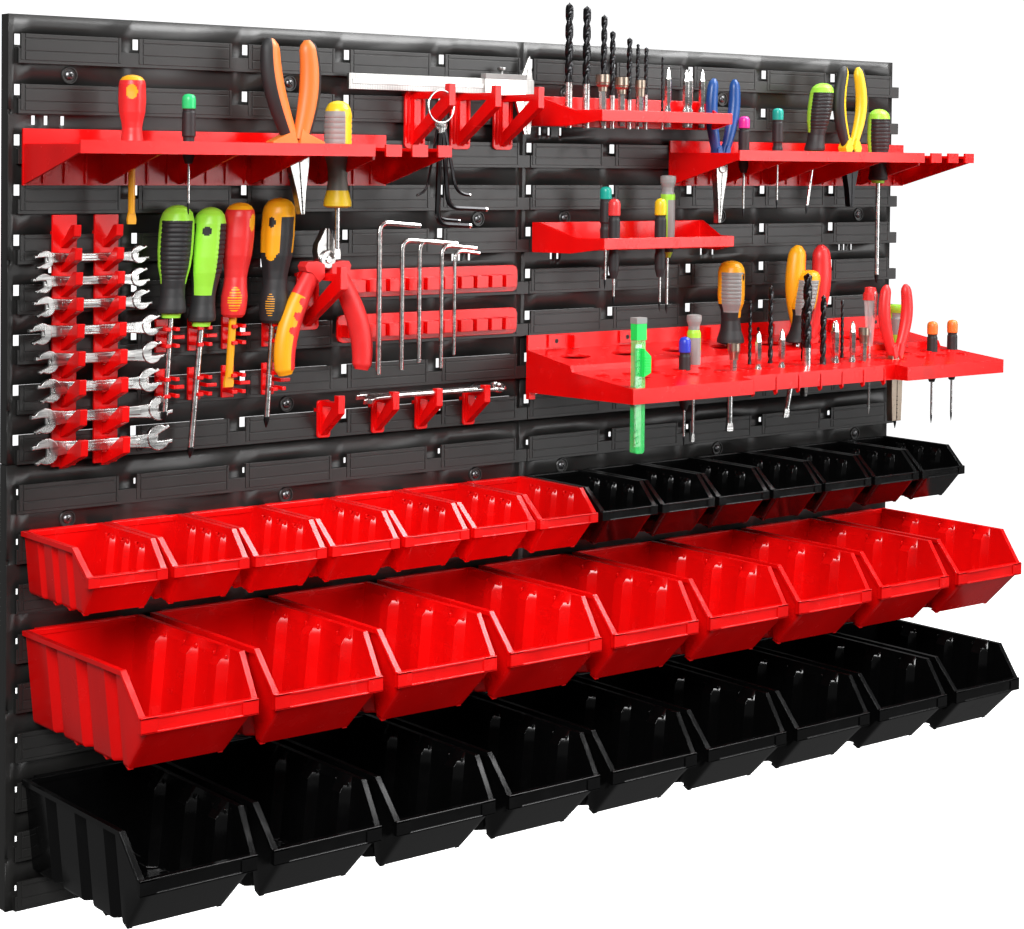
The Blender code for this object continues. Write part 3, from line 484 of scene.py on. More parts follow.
class Form:
    """Surfaces worked out as arrays and gathered into one mesh."""

    def __init__(self) -> None:
        """Starts empty."""
        self.blocks: list[np.ndarray] = []
        self.faces: list[tuple[int, ...]] = []
        self.slots: list[int] = []
        self.finishes: list[Finish] = []
        self.size = 0

    def slot(self, finish: Finish) -> int:
        """The number of a finish on this mesh."""
        if finish not in self.finishes:
            self.finishes.append(finish)
        return self.finishes.index(finish)

    def add(self, points: np.ndarray, faces: np.ndarray | list, finish: Finish | np.ndarray) -> Form:
        """Adds points and the faces between them.

        Args:
            points: any array whose last axis is x, y, z.
            faces: rows of numbers into the points.
            finish: one finish, or an array of slot numbers, one for each face.

        Returns:
            This form.
        """
        points = np.asarray(points, float).reshape(-1, 3)
        rows = [tuple(int(i) + self.size for i in face) for face in faces]
        self.slots += [self.slot(finish)] * len(rows) if isinstance(finish, Finish) else finish.tolist()
        self.blocks.append(points)
        self.faces += rows
        self.size += len(points)
        return self

    def grid(
        self,
        surface: np.ndarray,
        finish: Finish,
        around: bool = True,
        ends: bool = True,
        patches: Sequence[Patch] = (),
    ) -> Form:
        """Adds a surface of two parameters: rows run along it and columns across it or round it.

        Args:
            surface: points, rows by columns by 3.
            finish: the finish of all faces outside the patches.
            around: True if the last column joins the first.
            ends: True to close the first and the last row with a face each.
            patches: zones of other finishes.

        Returns:
            This form.
        """
        rows, columns = surface.shape[:2]
        row = np.arange(rows - 1)[:, None] * columns
        column = np.arange(columns if around else columns - 1)[None, :]
        after = (column + 1) % columns
        quads = np.stack(
            [row + column, row + after, row + columns + after, row + columns + column], axis=-1
        )
        marks = np.full(quads.shape[:2], self.slot(finish))
        along = (np.arange(rows - 1)[:, None] + 0.5) / (rows - 1)
        angle = (column + 0.5) * 360.0 / columns
        for patch in patches:
            marks[patch.covers(along, angle)] = self.slot(patch.finish)
        faces = quads.reshape(-1, 4).tolist()
        marks = marks.ravel()
        if ends:
            faces += [list(range(columns))[::-1], list(range((rows - 1) * columns, rows * columns))]
            marks = np.append(marks, marks[[0, -1]])
        return self.add(surface, faces, marks)

    def lathe(
        self,
        profile: Sequence[Sequence[float]],
        finish: Finish,
        at: Point = (0.0, 0.0, 0.0),
        axis: int = 2,
        sides: int = 16,
    ) -> Form:
        """Adds a turned surface: each (height, radius) is carried once round an axis.

        Args:
            profile: pairs of height along the axis and radius.
            finish: its finish.
            at: the point of the axis where the height is 0.
            axis: 0, 1 or 2 for X, Y or Z.
            sides: how many columns.

        Returns:
            This form.
        """
        height, radius = np.asarray(profile, float).T
        angle = (np.arange(sides) + 0.5) * math.tau / sides
        surface = np.empty((len(height), sides, 3))
        surface[..., axis] = height[:, None]
        surface[..., (axis + 1) % 3] = radius[:, None] * np.cos(angle)
        surface[..., (axis + 2) % 3] = radius[:, None] * np.sin(angle)
        return self.grid(surface + np.asarray(at), finish)

    def tube(
        self,
        path: np.ndarray,
        radius: float | np.ndarray,
        finish: Finish,
        sides: int = 8,
        flat: float | np.ndarray = 1.0,
        level: Point = (0.0, 1.0, 0.0),
        loop: bool = False,
        patches: Sequence[Patch] = (),
    ) -> Form:
        """Adds a profile carried along a path.

        Each ring is the path's point, plus the ring's radius times the cosine of the angle along the
        direction square to both the path and level, plus flat times as much of the sine along level's
        own part that is square to the path.

        Args:
            path: the centre line's points.
            radius: one radius, or one for each point.
            finish: its finish.
            sides: points in a ring.
            flat: the ring's width along level, as a share of the radius.
            level: a direction that the path never runs along.
            loop: True if the last point joins the first.
            patches: zones of other finishes.

        Returns:
            This form.
        """
        path = np.asarray(path, float)
        if loop:
            way = np.roll(path, -1, axis=0) - np.roll(path, 1, axis=0)
        else:
            way = np.gradient(path, axis=0)
        way /= np.linalg.norm(way, axis=1, keepdims=True)
        side = np.cross(np.asarray(level, float), way)
        side /= np.linalg.norm(side, axis=1, keepdims=True)
        rise = np.cross(way, side)
        angle = (np.arange(sides) + 0.5) * math.tau / sides
        wide = np.broadcast_to(radius, len(path))[:, None, None]
        deep = wide * np.broadcast_to(flat, len(path))[:, None, None]
        ring = wide * np.cos(angle)[None, :, None] * side[:, None]
        surface = path[:, None] + ring + deep * np.sin(angle)[None, :, None] * rise[:, None]
        if loop:
            surface = np.concatenate([surface, surface[:1]])
        return self.grid(surface, finish, ends=not loop, patches=patches)

    def prism(
        self, outline: Sequence[Sequence[float]], low: float, high: float, finish: Finish, axis: int = 1
    ) -> Form:
        """Adds an outline carried straight along an axis, from low to high, and closed at both ends.

        Args:
            outline: pairs of places on the other two axes, in their order.
            low: where it starts.
            high: where it ends.
            finish: its finish.
            axis: 0, 1 or 2 for X, Y or Z.

        Returns:
            This form.
        """
        outline = np.asarray(outline, float)
        surface = np.empty((2, len(outline), 3))
        first, second = [i for i in range(3) if i != axis]
        surface[..., first] = outline[:, 0]
        surface[..., second] = outline[:, 1]
        surface[..., axis] = np.array([low, high])[:, None]
        return self.grid(surface, finish)

    def box(self, low: Point, high: Point, finish: Finish) -> Form:
        """Adds a box between two corners."""
        (a, b, c), (d, e, f) = low, high
        return self.prism([(a, c), (d, c), (d, f), (a, f)], b, e, finish)

    def piece(
        self,
        name: str,
        body: str,
        bevel: float = 0.0,
        shell: float = 0.0,
        segments: int = 1,
        turn: np.ndarray | None = None,
        at: Point = (0.0, 0.0, 0.0),
        slot: str = "",
        replaces: Sequence[str] = (),
    ) -> bpy.types.Object:
        """Makes the mesh a finished piece that rides on a body.

        Args:
            name: the piece's name.
            body: the body it moves with.
            bevel: width of the rounding on its edges, or 0.
            shell: thickness given to an open sheet, or 0.
            segments: faces across a rounded edge.
            turn: a matrix that turns the points first.
            at: where the form's origin then goes.
            slot: the record's material slot, if it has one; not used.
            replaces: CAD nodes that the piece stands for.

        Returns:
            The piece.
        """
        points = np.concatenate(self.blocks)
        if turn is not None:
            points = points @ turn.T
        points = points + np.asarray(at)
        mesh = bpy.data.meshes.new(name)
        mesh.from_pydata(points.tolist(), [], self.faces)
        mesh.polygons.foreach_set("material_index", self.slots)
        mesh.polygons.foreach_set("use_smooth", [bool(bevel) or not shell] * len(self.faces))
        work = bmesh.new()
        work.from_mesh(mesh)
        bmesh.ops.remove_doubles(work, verts=work.verts, dist=1e-6)
        bmesh.ops.recalc_face_normals(work, faces=work.faces)
        work.to_mesh(mesh)
        work.free()
        for finish in self.finishes:
            mesh.materials.append(finish.material())
        obj = bpy.data.objects.new(name, mesh)
        bpy.context.scene.collection.objects.link(obj)
        if shell:
            solid = obj.modifiers.new("Thickness", "SOLIDIFY")
            solid.thickness, solid.offset, solid.use_even_offset = shell, 0.0, True
        if bevel:
            round_edges(obj, bevel, segments)
        else:
            mesh.set_sharp_from_angle(angle=SHARP_EDGE)
        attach(obj, body)
        if replaces:
            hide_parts(*replaces)
        LOG.info("%s rides on %s", name, body)
        return obj


def round_edges(obj: bpy.types.Object, width: float, segments: int = 2) -> None:
    """Puts a Bevel on the sharp edges of a piece."""
    bevel = obj.modifiers.new("Edges", "BEVEL")
    bevel.width, bevel.segments, bevel.limit_method = width, segments, "ANGLE"
    bevel.angle_limit = SHARP_EDGE
    bevel.use_clamp_overlap = True
    bevel.harden_normals = True


@dataclass(frozen=True)
class Panel:
    """One slotted panel: a pierced face, nine rails of tabs, a ribbed back and the wall screws."""

    name: str
    corner: tuple[float, float]
    tab_width: float = 0.0973
    tab_left: float = 0.0091
    band: float = 0.0130
    face: float = -0.0130
    front: float = -0.0200
    tab_thickness: float = 0.0030
    skin: float = 0.0024
    lug: float = 0.0060
    inset: float = 0.0070
    slit: float = 0.0026
    slots: ClassVar[tuple] = (
        (0.024, 0.295), (0.036, 0.295), (0.052, 0.295), (0.041, 0.166), (0.050, 0.166),
        (0.260, 0.166), (0.278, 0.166), (0.487, 0.167), (0.495, 0.167), (0.508, 0.167),
    )
    notches: ClassVar[tuple[float, ...]] = (0.0435, 0.1735, 0.3035)
    edge: ClassVar[float] = 0.0003
    rib: ClassVar[float] = 0.0024
    rib_heights: ClassVar[tuple[float, ...]] = (0.0937, 0.1803, 0.2670)
    screw_places: ClassVar[tuple[float, ...]] = (0.058, 0.288, 0.518)
    screw_gaps: ClassVar[tuple[int, ...]] = (0, 3, 7)

    def rails(self) -> list[float]:
        """Heights of the tabs' tops above the panel's lower edge, from the top rail down."""
        return [PANEL_HEIGHT - FIRST_TAB_DROP - rail * RAIL_PITCH for rail in range(RAILS)]

    def lefts(self) -> list[float]:
        """Where each tab of a rail starts."""
        return [self.tab_left + tab * PANEL_WIDTH / TABS for tab in range(TABS)]

    def windows(self) -> list[tuple[float, float, float, float]]:
        """Every opening in the face, as left, right, bottom and top.

        Behind each tab of the upper panels a window starts a little to the tab's left, and on the lower
        ones it stays wholly behind it; the moulding tool's slots and the notches of the left edge are
        the others.

        Returns:
            The openings.
        """
        slit, gap = (self.slit, 0.0002) if self.corner[1] >= 0.0 else (0.0, 0.0042)
        behind = [
            (left - slit, left + self.tab_width - 0.0015, top - TAB_HEIGHT + 0.0030, top - gap)
            for top in self.rails()
            for left in self.lefts()
        ]
        tooling = [(x - 0.0022, x + 0.0022, z - 0.0005, z + 0.0075) for x, z in self.slots]
        edge = [(0.0, 0.0028, z, z + 0.0040) for z in self.notches]
        return behind + tooling + edge

    def sheet(self) -> Form:
        """The pierced face: a grid whose lines are the openings' edges, without the cells inside them."""
        openings = np.array(self.windows())
        ends_x, ends_z = [self.edge, PANEL_WIDTH - self.edge], [self.edge, PANEL_HEIGHT - self.edge]
        across = np.unique(np.round(np.concatenate([ends_x, openings[:, :2].ravel()]), 5))
        up = np.unique(np.round(np.concatenate([ends_z, openings[:, 2:].ravel()]), 5))
        x, z = np.meshgrid(across, up)
        points = np.stack([x, np.full_like(x, self.face), z], axis=-1)
        middle_x = ((across[1:] + across[:-1]) / 2)[None, :, None]
        middle_z = ((up[1:] + up[:-1]) / 2)[:, None, None]
        left, right, bottom, top = openings.T
        cut = (middle_x > left) & (middle_x < right) & (middle_z > bottom) & (middle_z < top)
        row, column = np.nonzero(~cut.any(axis=2))
        corner = row * len(across) + column
        quads = np.stack([corner, corner + 1, corner + len(across) + 1, corner + len(across)], axis=-1)
        return Form().add(points, quads, BOARD)

    def comb(self, top: float) -> np.ndarray:
        """Front outline of a rail: its band and, on top, its tabs."""
        shoulder = top - TAB_HEIGHT
        foot = shoulder - self.band
        end = PANEL_WIDTH + self.lug
        tabs = [
            [(left + self.tab_width, shoulder), (left + self.tab_width, top), (left, top), (left, shoulder)]
            for left in reversed(self.lefts())
        ]
        ends = [[(self.inset, foot), (end, foot), (end, shoulder)], *tabs, [(self.inset, shoulder)]]
        return np.concatenate(ends)

    def rail(self, form: Form, top: float) -> None:
        """Adds one rail: band, comb and, on each tab, the raised fields that leave fine grooves between."""
        foot = top - TAB_HEIGHT - self.band
        low = self.front + 0.0006
        form.prism(self.comb(top), low, self.front + self.tab_thickness, BOARD)
        form.box(
            (self.inset, low + 0.001, foot),
            (PANEL_WIDTH + self.lug, self.face - 0.0004, foot + self.band), BOARD,
        )
        for left in self.lefts():
            right = left + self.tab_width
            fields = (
                (left, left + 0.0034, foot + 0.0030, top),
                (left + 0.0043, right - 0.0034, top - 0.0036, top),
                (right - 0.0025, right, foot + 0.0030, top),
                (left + 0.0043, right - 0.0034, top - 0.0145, top - 0.0045),
                (left + 0.0043, right - 0.0034, foot + 0.0030, top - 0.0154),
            )
            for a, b, c, d in fields:
                form.box((a, self.front, c), (b, low + 0.0004, d), BOARD)

    def back(self, form: Form) -> None:
        """Adds the skirt round the panel and the ribs that stand on the wall."""
        rib, edge, deep = self.rib, self.edge, self.face + self.skin / 2 - 0.0006
        inner = [k * PANEL_WIDTH / TABS - rib / 2 for k in range(1, TABS)]
        columns = [edge, *inner, PANEL_WIDTH - rib - edge]
        rows = [edge, *self.rib_heights, PANEL_HEIGHT - rib - edge]
        for x in columns:
            form.box((x, deep, edge), (x + rib, 0.0, PANEL_HEIGHT - edge), BOARD)
        for z in rows:
            form.box((0.0004, deep, z), (PANEL_WIDTH - 0.0004, -0.0001, z + rib), BOARD)

    def screws(self) -> tuple[Form, Form]:
        """The bosses with their rims, and the cross-head screws in them, whose crosses are painted shade.

        Returns:
            The bosses and the screws.
        """
        bosses, screws = Form(), Form()
        tops = self.rails()
        for gap in self.screw_gaps:
            z = tops[gap + 1] + (RAIL_PITCH - TAB_HEIGHT - self.band) / 2
            for x in self.screw_places:
                rim = [
                    (-0.0125, 0.0079), (-0.0152, 0.0079), (-0.0158, 0.0073), (-0.0158, 0.0066),
                    (-0.0145, 0.0062), (-0.0143, 0.0),
                ]
                bosses.lathe([(0.0, 0.0), (0.0, 0.0079), *rim], BOARD, (x, 0.0, z), 1, 20)
                head = [
                    (-0.0140, 0.0042), (-0.0156, 0.0040), (-0.0166, 0.0030), (-0.0170, 0.0014),
                    (-0.0171, 0.0),
                ]
                screws.lathe([(-0.0140, 0.0), *head], SCREW, (x, 0.0, z), 1, 14)
                arm = 0.0024
                # Painted shade: two dark bars stand for the cross recess in each screw head.
                for turn in (45.0, 135.0):
                    bar = arc((x, z), arm, turn - 14, turn + 14, 2)
                    far = arc((x, z), arm, turn + 166, turn + 194, 2)
                    screws.prism(np.concatenate([bar, far]), -0.01725, -0.0160, PAINTED_RECESS_SHADE)
        return bosses, screws

    def build(self) -> None:
        """Makes the panel's pieces in place of its CAD node."""
        at = (self.corner[0], 0.0, self.corner[1])
        self.sheet().piece(
            f"{self.name}_face", "board", shell=self.skin, at=at, slot="board_plastic", replaces=[self.name]
        )
        rails = Form()
        for top in self.rails():
            self.rail(rails, top)
        rails.piece(f"{self.name}_rails", "board", bevel=0.00035, at=at, slot="board_plastic")
        ribs = Form()
        self.back(ribs)
        ribs.piece(f"{self.name}_ribs", "board", at=at, slot="board_plastic")
        bosses, screws = self.screws()
        bosses.piece(f"{self.name}_bosses", "board", at=at, slot="board_plastic")
        screws.piece(f"{self.name}_screws", "board", at=at)


@dataclass(frozen=True)
class Bin:
    """A hook-on bin: a thin corrugated shell with a rolled rim, a label holder, nubs, feet and a hook."""

    width: float
    height: float
    rim_reach: float
    reach: float
    foot_reach: float
    lip_drop: float
    lip: float
    grooves: tuple[float, ...]
    groove: float
    depth: float
    flange: float = 0.0036
    skirt: float = 0.0034
    wall: float = 0.0017
    taper: float = 0.15
    back: float = -0.0214
    corner: float = 0.0036

    def top(self, y: np.ndarray) -> np.ndarray:
        """Height of the rim: level, then a straight fall to the lip, with a short curve between."""
        reach = -y
        fall = self.lip_drop * (reach - self.rim_reach) / (self.reach - self.rim_reach)
        soft = 0.0022
        return -(fall + np.sqrt(fall**2 + soft**2)) / 2 + soft * 0.5 * np.exp(-np.abs(fall) / soft)

    def floor(self, y: np.ndarray) -> np.ndarray:
        """Height of the floor: level, then a straight rise to the underside of the lip."""
        return np.interp(-y, [self.foot_reach, self.reach], [-self.height, -self.lip_drop - self.lip])

    def inward(self, y: np.ndarray) -> np.ndarray:
        """How far the walls come in at a depth: a trapezoid at each groove, 0 between them."""
        lines = [(0.0, 0.0)]
        for centre in self.grooves:
            half = self.groove / 2
            steep = self.groove * 0.22
            lines += [
                (centre - half, 0.0), (centre - half + steep, self.depth),
                (centre + half - steep, self.depth), (centre + half, 0.0),
            ]
        places, amounts = np.array([*lines, (1.0, 0.0)]).T
        return np.interp(-y, places, amounts)

    def stations(self) -> np.ndarray:
        """Depths of the shell's cross-sections, from back to front, with one at each groove's edges."""
        edges = [
            c + side * share * self.groove
            for c in self.grooves
            for side in (-1, 1)
            for share in (0.5, 0.28)
        ]
        bend = self.rim_reach + np.linspace(-0.006, 0.006, 7)
        slope = np.linspace(self.rim_reach + 0.009, self.reach, 5)
        marks = np.concatenate([[-self.back, self.foot_reach], edges, bend, slope])
        marks = np.unique(np.round(marks[marks <= self.reach], 5))
        return -marks

    def shell(self, finish: Finish) -> Form:
        """The shell as one sheet.

        A cross-section runs from the rim's turned-down edge, over the rim, down the wall, round the
        lower corner and along the floor to the middle, and is mirrored. The wall leans in by taper over
        the height and by the grooves, which start under the rim.

        Args:
            finish: its finish.

        Returns:
            The sheet.
        """
        y = self.stations()
        top, base = self.top(y)[:, None], self.floor(y)[:, None]
        round_off = np.minimum(self.corner, 0.4 * (top - base))
        down = np.array([0.0, 0.10, 0.17, 0.30, 0.65, 1.0])[None, :]
        wall_z = top + (base + round_off - top) * down
        steps = np.radians([30.0, 60.0, 90.0])[None, :]
        turn_z = base + round_off * (1 - np.sin(steps))
        half = self.width / 2 * (1 + self.taper * np.clip(wall_z, -self.height, 0.0) / self.height)
        fade = np.clip((top - wall_z - 0.0055) / 0.004, 0.0, 1.0)
        dent = self.inward(y)[:, None]
        wall_x = half - dent * fade
        share = np.clip((top - base) / 0.02, 0.0, 1.0)
        low_x = self.width / 2 * (1 + self.taper * base / self.height) - dent * share
        turn_x = low_x - round_off * (1 - np.cos(steps))
        inner = low_x - round_off - 0.004
        edge = self.width / 2 * (1 + self.taper * np.clip(top, -self.height, 0.0) / self.height)
        edge_x = edge + np.array([[self.flange, self.flange]])
        edge_z = top - np.array([[self.skirt, 0.0]])
        x = np.concatenate([edge_x, wall_x, turn_x, inner, inner * 0.0], axis=1)
        z = np.concatenate([edge_z, wall_z, turn_z, base, base], axis=1)
        right = np.stack([x, np.broadcast_to(y[:, None], x.shape), z], axis=-1)
        left = right[:, -2::-1] * np.array([-1.0, 1.0, 1.0])
        sheet = np.concatenate([right, left], axis=1)
        form = Form().grid(sheet, finish, around=False, ends=False)
        return form.add(sheet[0, 2:-2], [list(range(sheet.shape[1] - 4))], finish)

    def trim(self, finish: Finish) -> Form:
        """The solid parts: label holder, rear edge, hook, nubs and feet.

        Args:
            finish: their finish.

        Returns:
            The parts.
        """
        form = Form()
        half = self.width / 2 * (1 - self.taper * self.lip_drop / self.height) + self.flange + 0.0009
        low, high = -self.lip_drop - self.lip, -self.lip_drop + 0.0006
        front = -self.reach
        thick = 0.0022
        form.box((-half, front - thick, low), (half, front + 0.0024, high), finish)
        proud = front - thick - 0.0013
        bar = self.lip * 0.17
        pad = half * 0.72
        form.box((-half, proud, high - bar), (half, front - 0.0010, high), finish)
        form.box((-half, proud, low), (half, front - 0.0010, low + bar * 0.8), finish)
        form.box((-half, proud, low + 0.0002), (-pad, front - 0.0010, high - 0.0002), finish)
        form.box((pad, proud, low + 0.0002), (half, front - 0.0010, high - 0.0002), finish)
        form.box((-self.width / 2, -0.0232, -0.0050), (self.width / 2, -0.0206, 0.0), finish)
        lip = [
            (-0.0216, -0.0024), (-0.0216, 0.0), (-0.0134, 0.0), (-0.0134, -0.0113), (-0.0166, -0.0113),
            (-0.0166, -0.0024),
        ]
        form.prism(lip, -self.width * 0.4, self.width * 0.4, finish, axis=0)
        for side in (-1.0, 1.0):
            for centre in self.grooves:
                for shift in (-0.45, 0.45):
                    y = -centre + shift * self.groove
                    nub = side * (self.width / 2 - self.wall - 0.0022)
                    form.lathe(
                        [(-0.0085, 0.0), (-0.0080, 0.0013), (-0.0045, 0.0015), (-0.0040, 0.0)], finish,
                        (nub, y, 0.0), 2, 8,
                    )
            self.feet(form, side, finish)
        return form

    def feet(self, form: Form, side: float, finish: Finish) -> None:
        """Adds the points under one wall: one at the front corner and one between each pair of grooves."""
        foot = self.width / 2 * (1 - self.taper)
        drop = -self.height - 0.0026
        ends = [0.5 * (a + b) for a, b in zip(self.grooves, self.grooves[1:])]
        for reach in (*ends, self.foot_reach - 0.0035):
            outline = [
                (-reach - 0.0030, -self.height + 0.001), (-reach - 0.0022, drop),
                (-reach + 0.006, -self.height + 0.001),
            ]
            spans = sorted((side * (foot - 0.0062), side * (foot - 0.0010)))
            form.prism([*outline, (-reach, -self.height + 0.0025)], *spans, finish, axis=0)

    def build(self, node: str, at: Point, finish: Finish) -> None:
        """Makes one bin in place of its CAD node.

        Args:
            node: the CAD node and body it stands for.
            at: the middle of its rim at the board.
            finish: its finish.
        """
        slot = finish.name
        self.shell(finish).piece(
            f"{node}_shell", node, bevel=0.0005, shell=self.wall, segments=2, at=at, slot=slot,
            replaces=[node],
        )
        self.trim(finish).piece(f"{node}_trim", node, bevel=0.0005, segments=2, at=at, slot=slot)


class BinRows:
    """The three rows of bins on the lower panels."""

    small = Bin(0.070, 0.055, 0.115, 0.137, 0.117, 0.021, 0.009, (0.050, 0.076, 0.1015), 0.0125, 0.0050)
    large = Bin(0.108, 0.082, 0.195, 0.220, 0.186, 0.033, 0.013, (0.068, 0.121, 0.1705), 0.021, 0.0090)

    small_pitch, large_pitch = 0.081, 0.1265

    def build(self) -> None:
        """Makes seven red and seven black small bins, then nine red and nine black large ones."""
        for i in range(14):
            colour, finish = (("red", RED), ("black", BLACK))[i // 7]
            at = ((i - 6.5) * self.small_pitch, 0.0, tab_top(0, 1) + HOOK_TOP)
            self.small.build(f"small_bin_{colour}_{i % 7 + 1}", at, finish)
        for rail, colour, finish in ((3, "red", RED), (6, "black", BLACK)):
            for i in range(9):
                at = ((i - 4) * self.large_pitch, 0.0, tab_top(0, rail) + HOOK_TOP)
                self.large.build(f"large_bin_{colour}_{i + 1}", at, finish)


class Holders:
    """The red holders: the CAD shapes with rounded edges and a moulded finish, and what is added to them."""

    names = (
        "long_shelf_left", "long_shelf_right", "bit_shelf_upper", "bit_shelf_lower", "tool_tray",
        "wrench_rack_left", "wrench_rack_right", "key_rail_upper", "key_rail_lower",
    )
    tray = (0.290, 0.0, tab_top(1, 7))
    bit_shelves = (("upper", 0.125, 1), ("lower", 0.130, 4))
    long_shelves = (("left", -0.373), ("right", 0.395))
    large_hooks = ((-0.145, 1), (-0.088, 1), (-0.033, 1), (-0.270, 5))

    def dress(self, node: str, finish: Finish, bevel: float) -> None:
        """Gives a CAD node its finish and its rounded edges."""
        obj = frame["nodes"][node]
        obj.data.materials.clear()
        obj.data.materials.append(finish.material())
        weld = obj.modifiers.new("Join", "WELD")
        weld.merge_threshold = 1e-5
        round_edges(obj, bevel)
        LOG.info("%s keeps its shape and is finished in %s", node, finish.name)

    def rims(self) -> None:
        """Adds the raised rims round the holes of the tray's lower deck and of the two bit shelves."""
        form = Form()
        slope = (0.0135 - 0.0225) / (0.182 - 0.089)
        for row in range(2):
            for i in range(16):
                x = (i - 7.5) * (0.574 - 0.04) / 15
                y = -0.115 - row * 0.023
                self.ring(form, (x, y, -0.0135 - slope * (y + 0.089)), 0.0066)
        form.piece("tool_tray_rims", "tool_tray", at=self.tray, slot="red_plastic")
        for level, x, rail in self.bit_shelves:
            form = Form()
            for i in range(17):
                self.ring(form, ((i - 8) * 0.012, -0.052, -0.015), 0.0053)
            for i in range(7):
                self.ring(form, ((i - 3) * 0.026, -0.084, -0.015), 0.0056)
            form.piece(
                f"bit_shelf_{level}_rims", f"bit_shelf_{level}", at=(x, 0.0, tab_top(1, rail)),
                slot="red_plastic",
            )

    @staticmethod
    def ring(form: Form, at: Point, radius: float) -> None:
        """Adds a small ring that lies flat."""
        path = np.concatenate([arc(at[:2], radius, 0, 330, 12), np.full((12, 1), at[2])], axis=1)
        form.tube(path, 0.0007, RED, sides=4, level=(0.0, 0.0, 1.0), loop=True)

    def brackets(self) -> None:
        """Adds screw bosses, with painted shade for their holes, to the tray's flange and stiffening ribs to
        the shelves.
        """
        form = Form()
        for i in range(6):
            x = (i - 2.5) * 0.100
            form.box((x - 0.011, -0.0252, 0.0045), (x + 0.011, -0.0226, 0.0178), RED)
            # Painted shade: a dark disc on each boss stands for its hole.
            form.lathe(
                [(-0.02545, 0.0), (-0.02545, 0.0026), (-0.0246, 0.0026), (-0.0246, 0.0)], PAINTED_RECESS_SHADE,
                (x, 0.0, 0.0112), 1, 12,
            )
            form.box((x + 0.021, -0.0290, 0.0030), (x + 0.0235, -0.0226, 0.0165), RED)
        for i in range(7):
            x = (i - 3) * 0.034
            outline = [(-0.166, -0.024), (-0.166, -0.0405), (-0.1630, -0.0430), (-0.150, -0.024)]
            form.prism(outline, x - 0.0012, x + 0.0012, RED, axis=0)
        form.piece("tool_tray_ribs", "tool_tray", bevel=0.0005, at=self.tray, slot="red_plastic")
        for side, x in self.long_shelves:
            form = Form()
            for i in range(18):
                place = (i - 8.5) * 0.0205
                outline = [(-0.0228, -0.0118), (-0.0228, -0.0425), (-0.0248, -0.0425), (-0.0262, -0.0118)]
                form.prism(outline, place - 0.0009, place + 0.0009, RED, axis=0)
            form.piece(
                f"long_shelf_{side}_ribs", f"long_shelf_{side}", at=(x, 0.0, tab_top(1, 2)),
                slot="red_plastic",
            )

    def build(self) -> None:
        """Dresses every holder that keeps its CAD shape."""
        for node in self.names:
            self.dress(node, RED, 0.0007)
        for i in range(1, 5):
            self.dress(f"large_hook_{i}", RED, 0.0008)
            self.dress(f"small_hook_{i}", RED, 0.0006)
        self.rims()
        self.brackets()
        half, y, top, low = 0.0085, -0.0235, -0.0005, -0.046
        path = bent([(-half, y, low), (-half, y, top), (half, y, top), (half, y, low)], 0.003)
        for i, (x, rail) in enumerate(self.large_hooks):
            hook = f"large_hook_{i + 1}"
            form = Form().tube(path, 0.0011, RED, sides=6)
            form.piece(f"{hook}_rib", hook, at=(x, 0.0, tab_top(1, rail)), slot="red_plastic")


@dataclass(frozen=True)
class Clips:
    """The eight clips that hold the long screwdrivers' shafts: a plate, two forked arms and a sprung tab."""

    plate: tuple[float, float, float] = (0.013, 0.0030, 0.030)
    back: float = -0.0204
    reach: float = 0.0215
    arm: float = 0.0035
    arm_heights: ClassVar[tuple[float, ...]] = (0.0055, 0.0205)
    columns: ClassVar[tuple[float, ...]] = (-0.4350, -0.4010, -0.3650, -0.3210)
    rows: ClassVar[tuple[float, ...]] = (0.0915, 0.0465)

    def form(self) -> Form:
        """One clip, with its plate's lower left corner at the origin."""
        wide, thick, high = self.plate
        back, arm = self.back, self.arm
        front = back - self.reach
        form = Form().box((0.0, back - thick, 0.0), (wide, back, high), RED)
        for z in self.arm_heights:
            form.box((0.0000, front, z), (0.0026, back - thick + 0.0004, z + arm), RED)
            form.box((0.0098, front, z), (0.0124, back - thick + 0.0004, z + arm), RED)
            form.box(
                (0.0010, back - self.reach * 0.48, z), (0.0110, back - self.reach * 0.36, z + arm), RED
            )
            form.box((-0.0020, front - 0.0022, z), (0.0040, front + 0.0006, z + arm), RED)
            form.box((0.0085, front - 0.0022, z), (0.0130, front + 0.0006, z + arm), RED)
        form.box((0.0110, front + 0.003, 0.0128), (0.0210, front + 0.006, 0.0163), RED)
        form.box((0.0100, front + 0.003, 0.0128), (0.0125, back - thick + 0.0004, 0.0163), RED)
        return form

    def build(self) -> None:
        """Makes the clips in two rows of four."""
        for row, z in enumerate(self.rows):
            for column, x in enumerate(self.columns):
                name = f"driver_clip_{row * len(self.columns) + column + 1}"
                self.form().piece(name, "board", bevel=0.0005, at=(x, 0.0, z), slot="red_plastic")


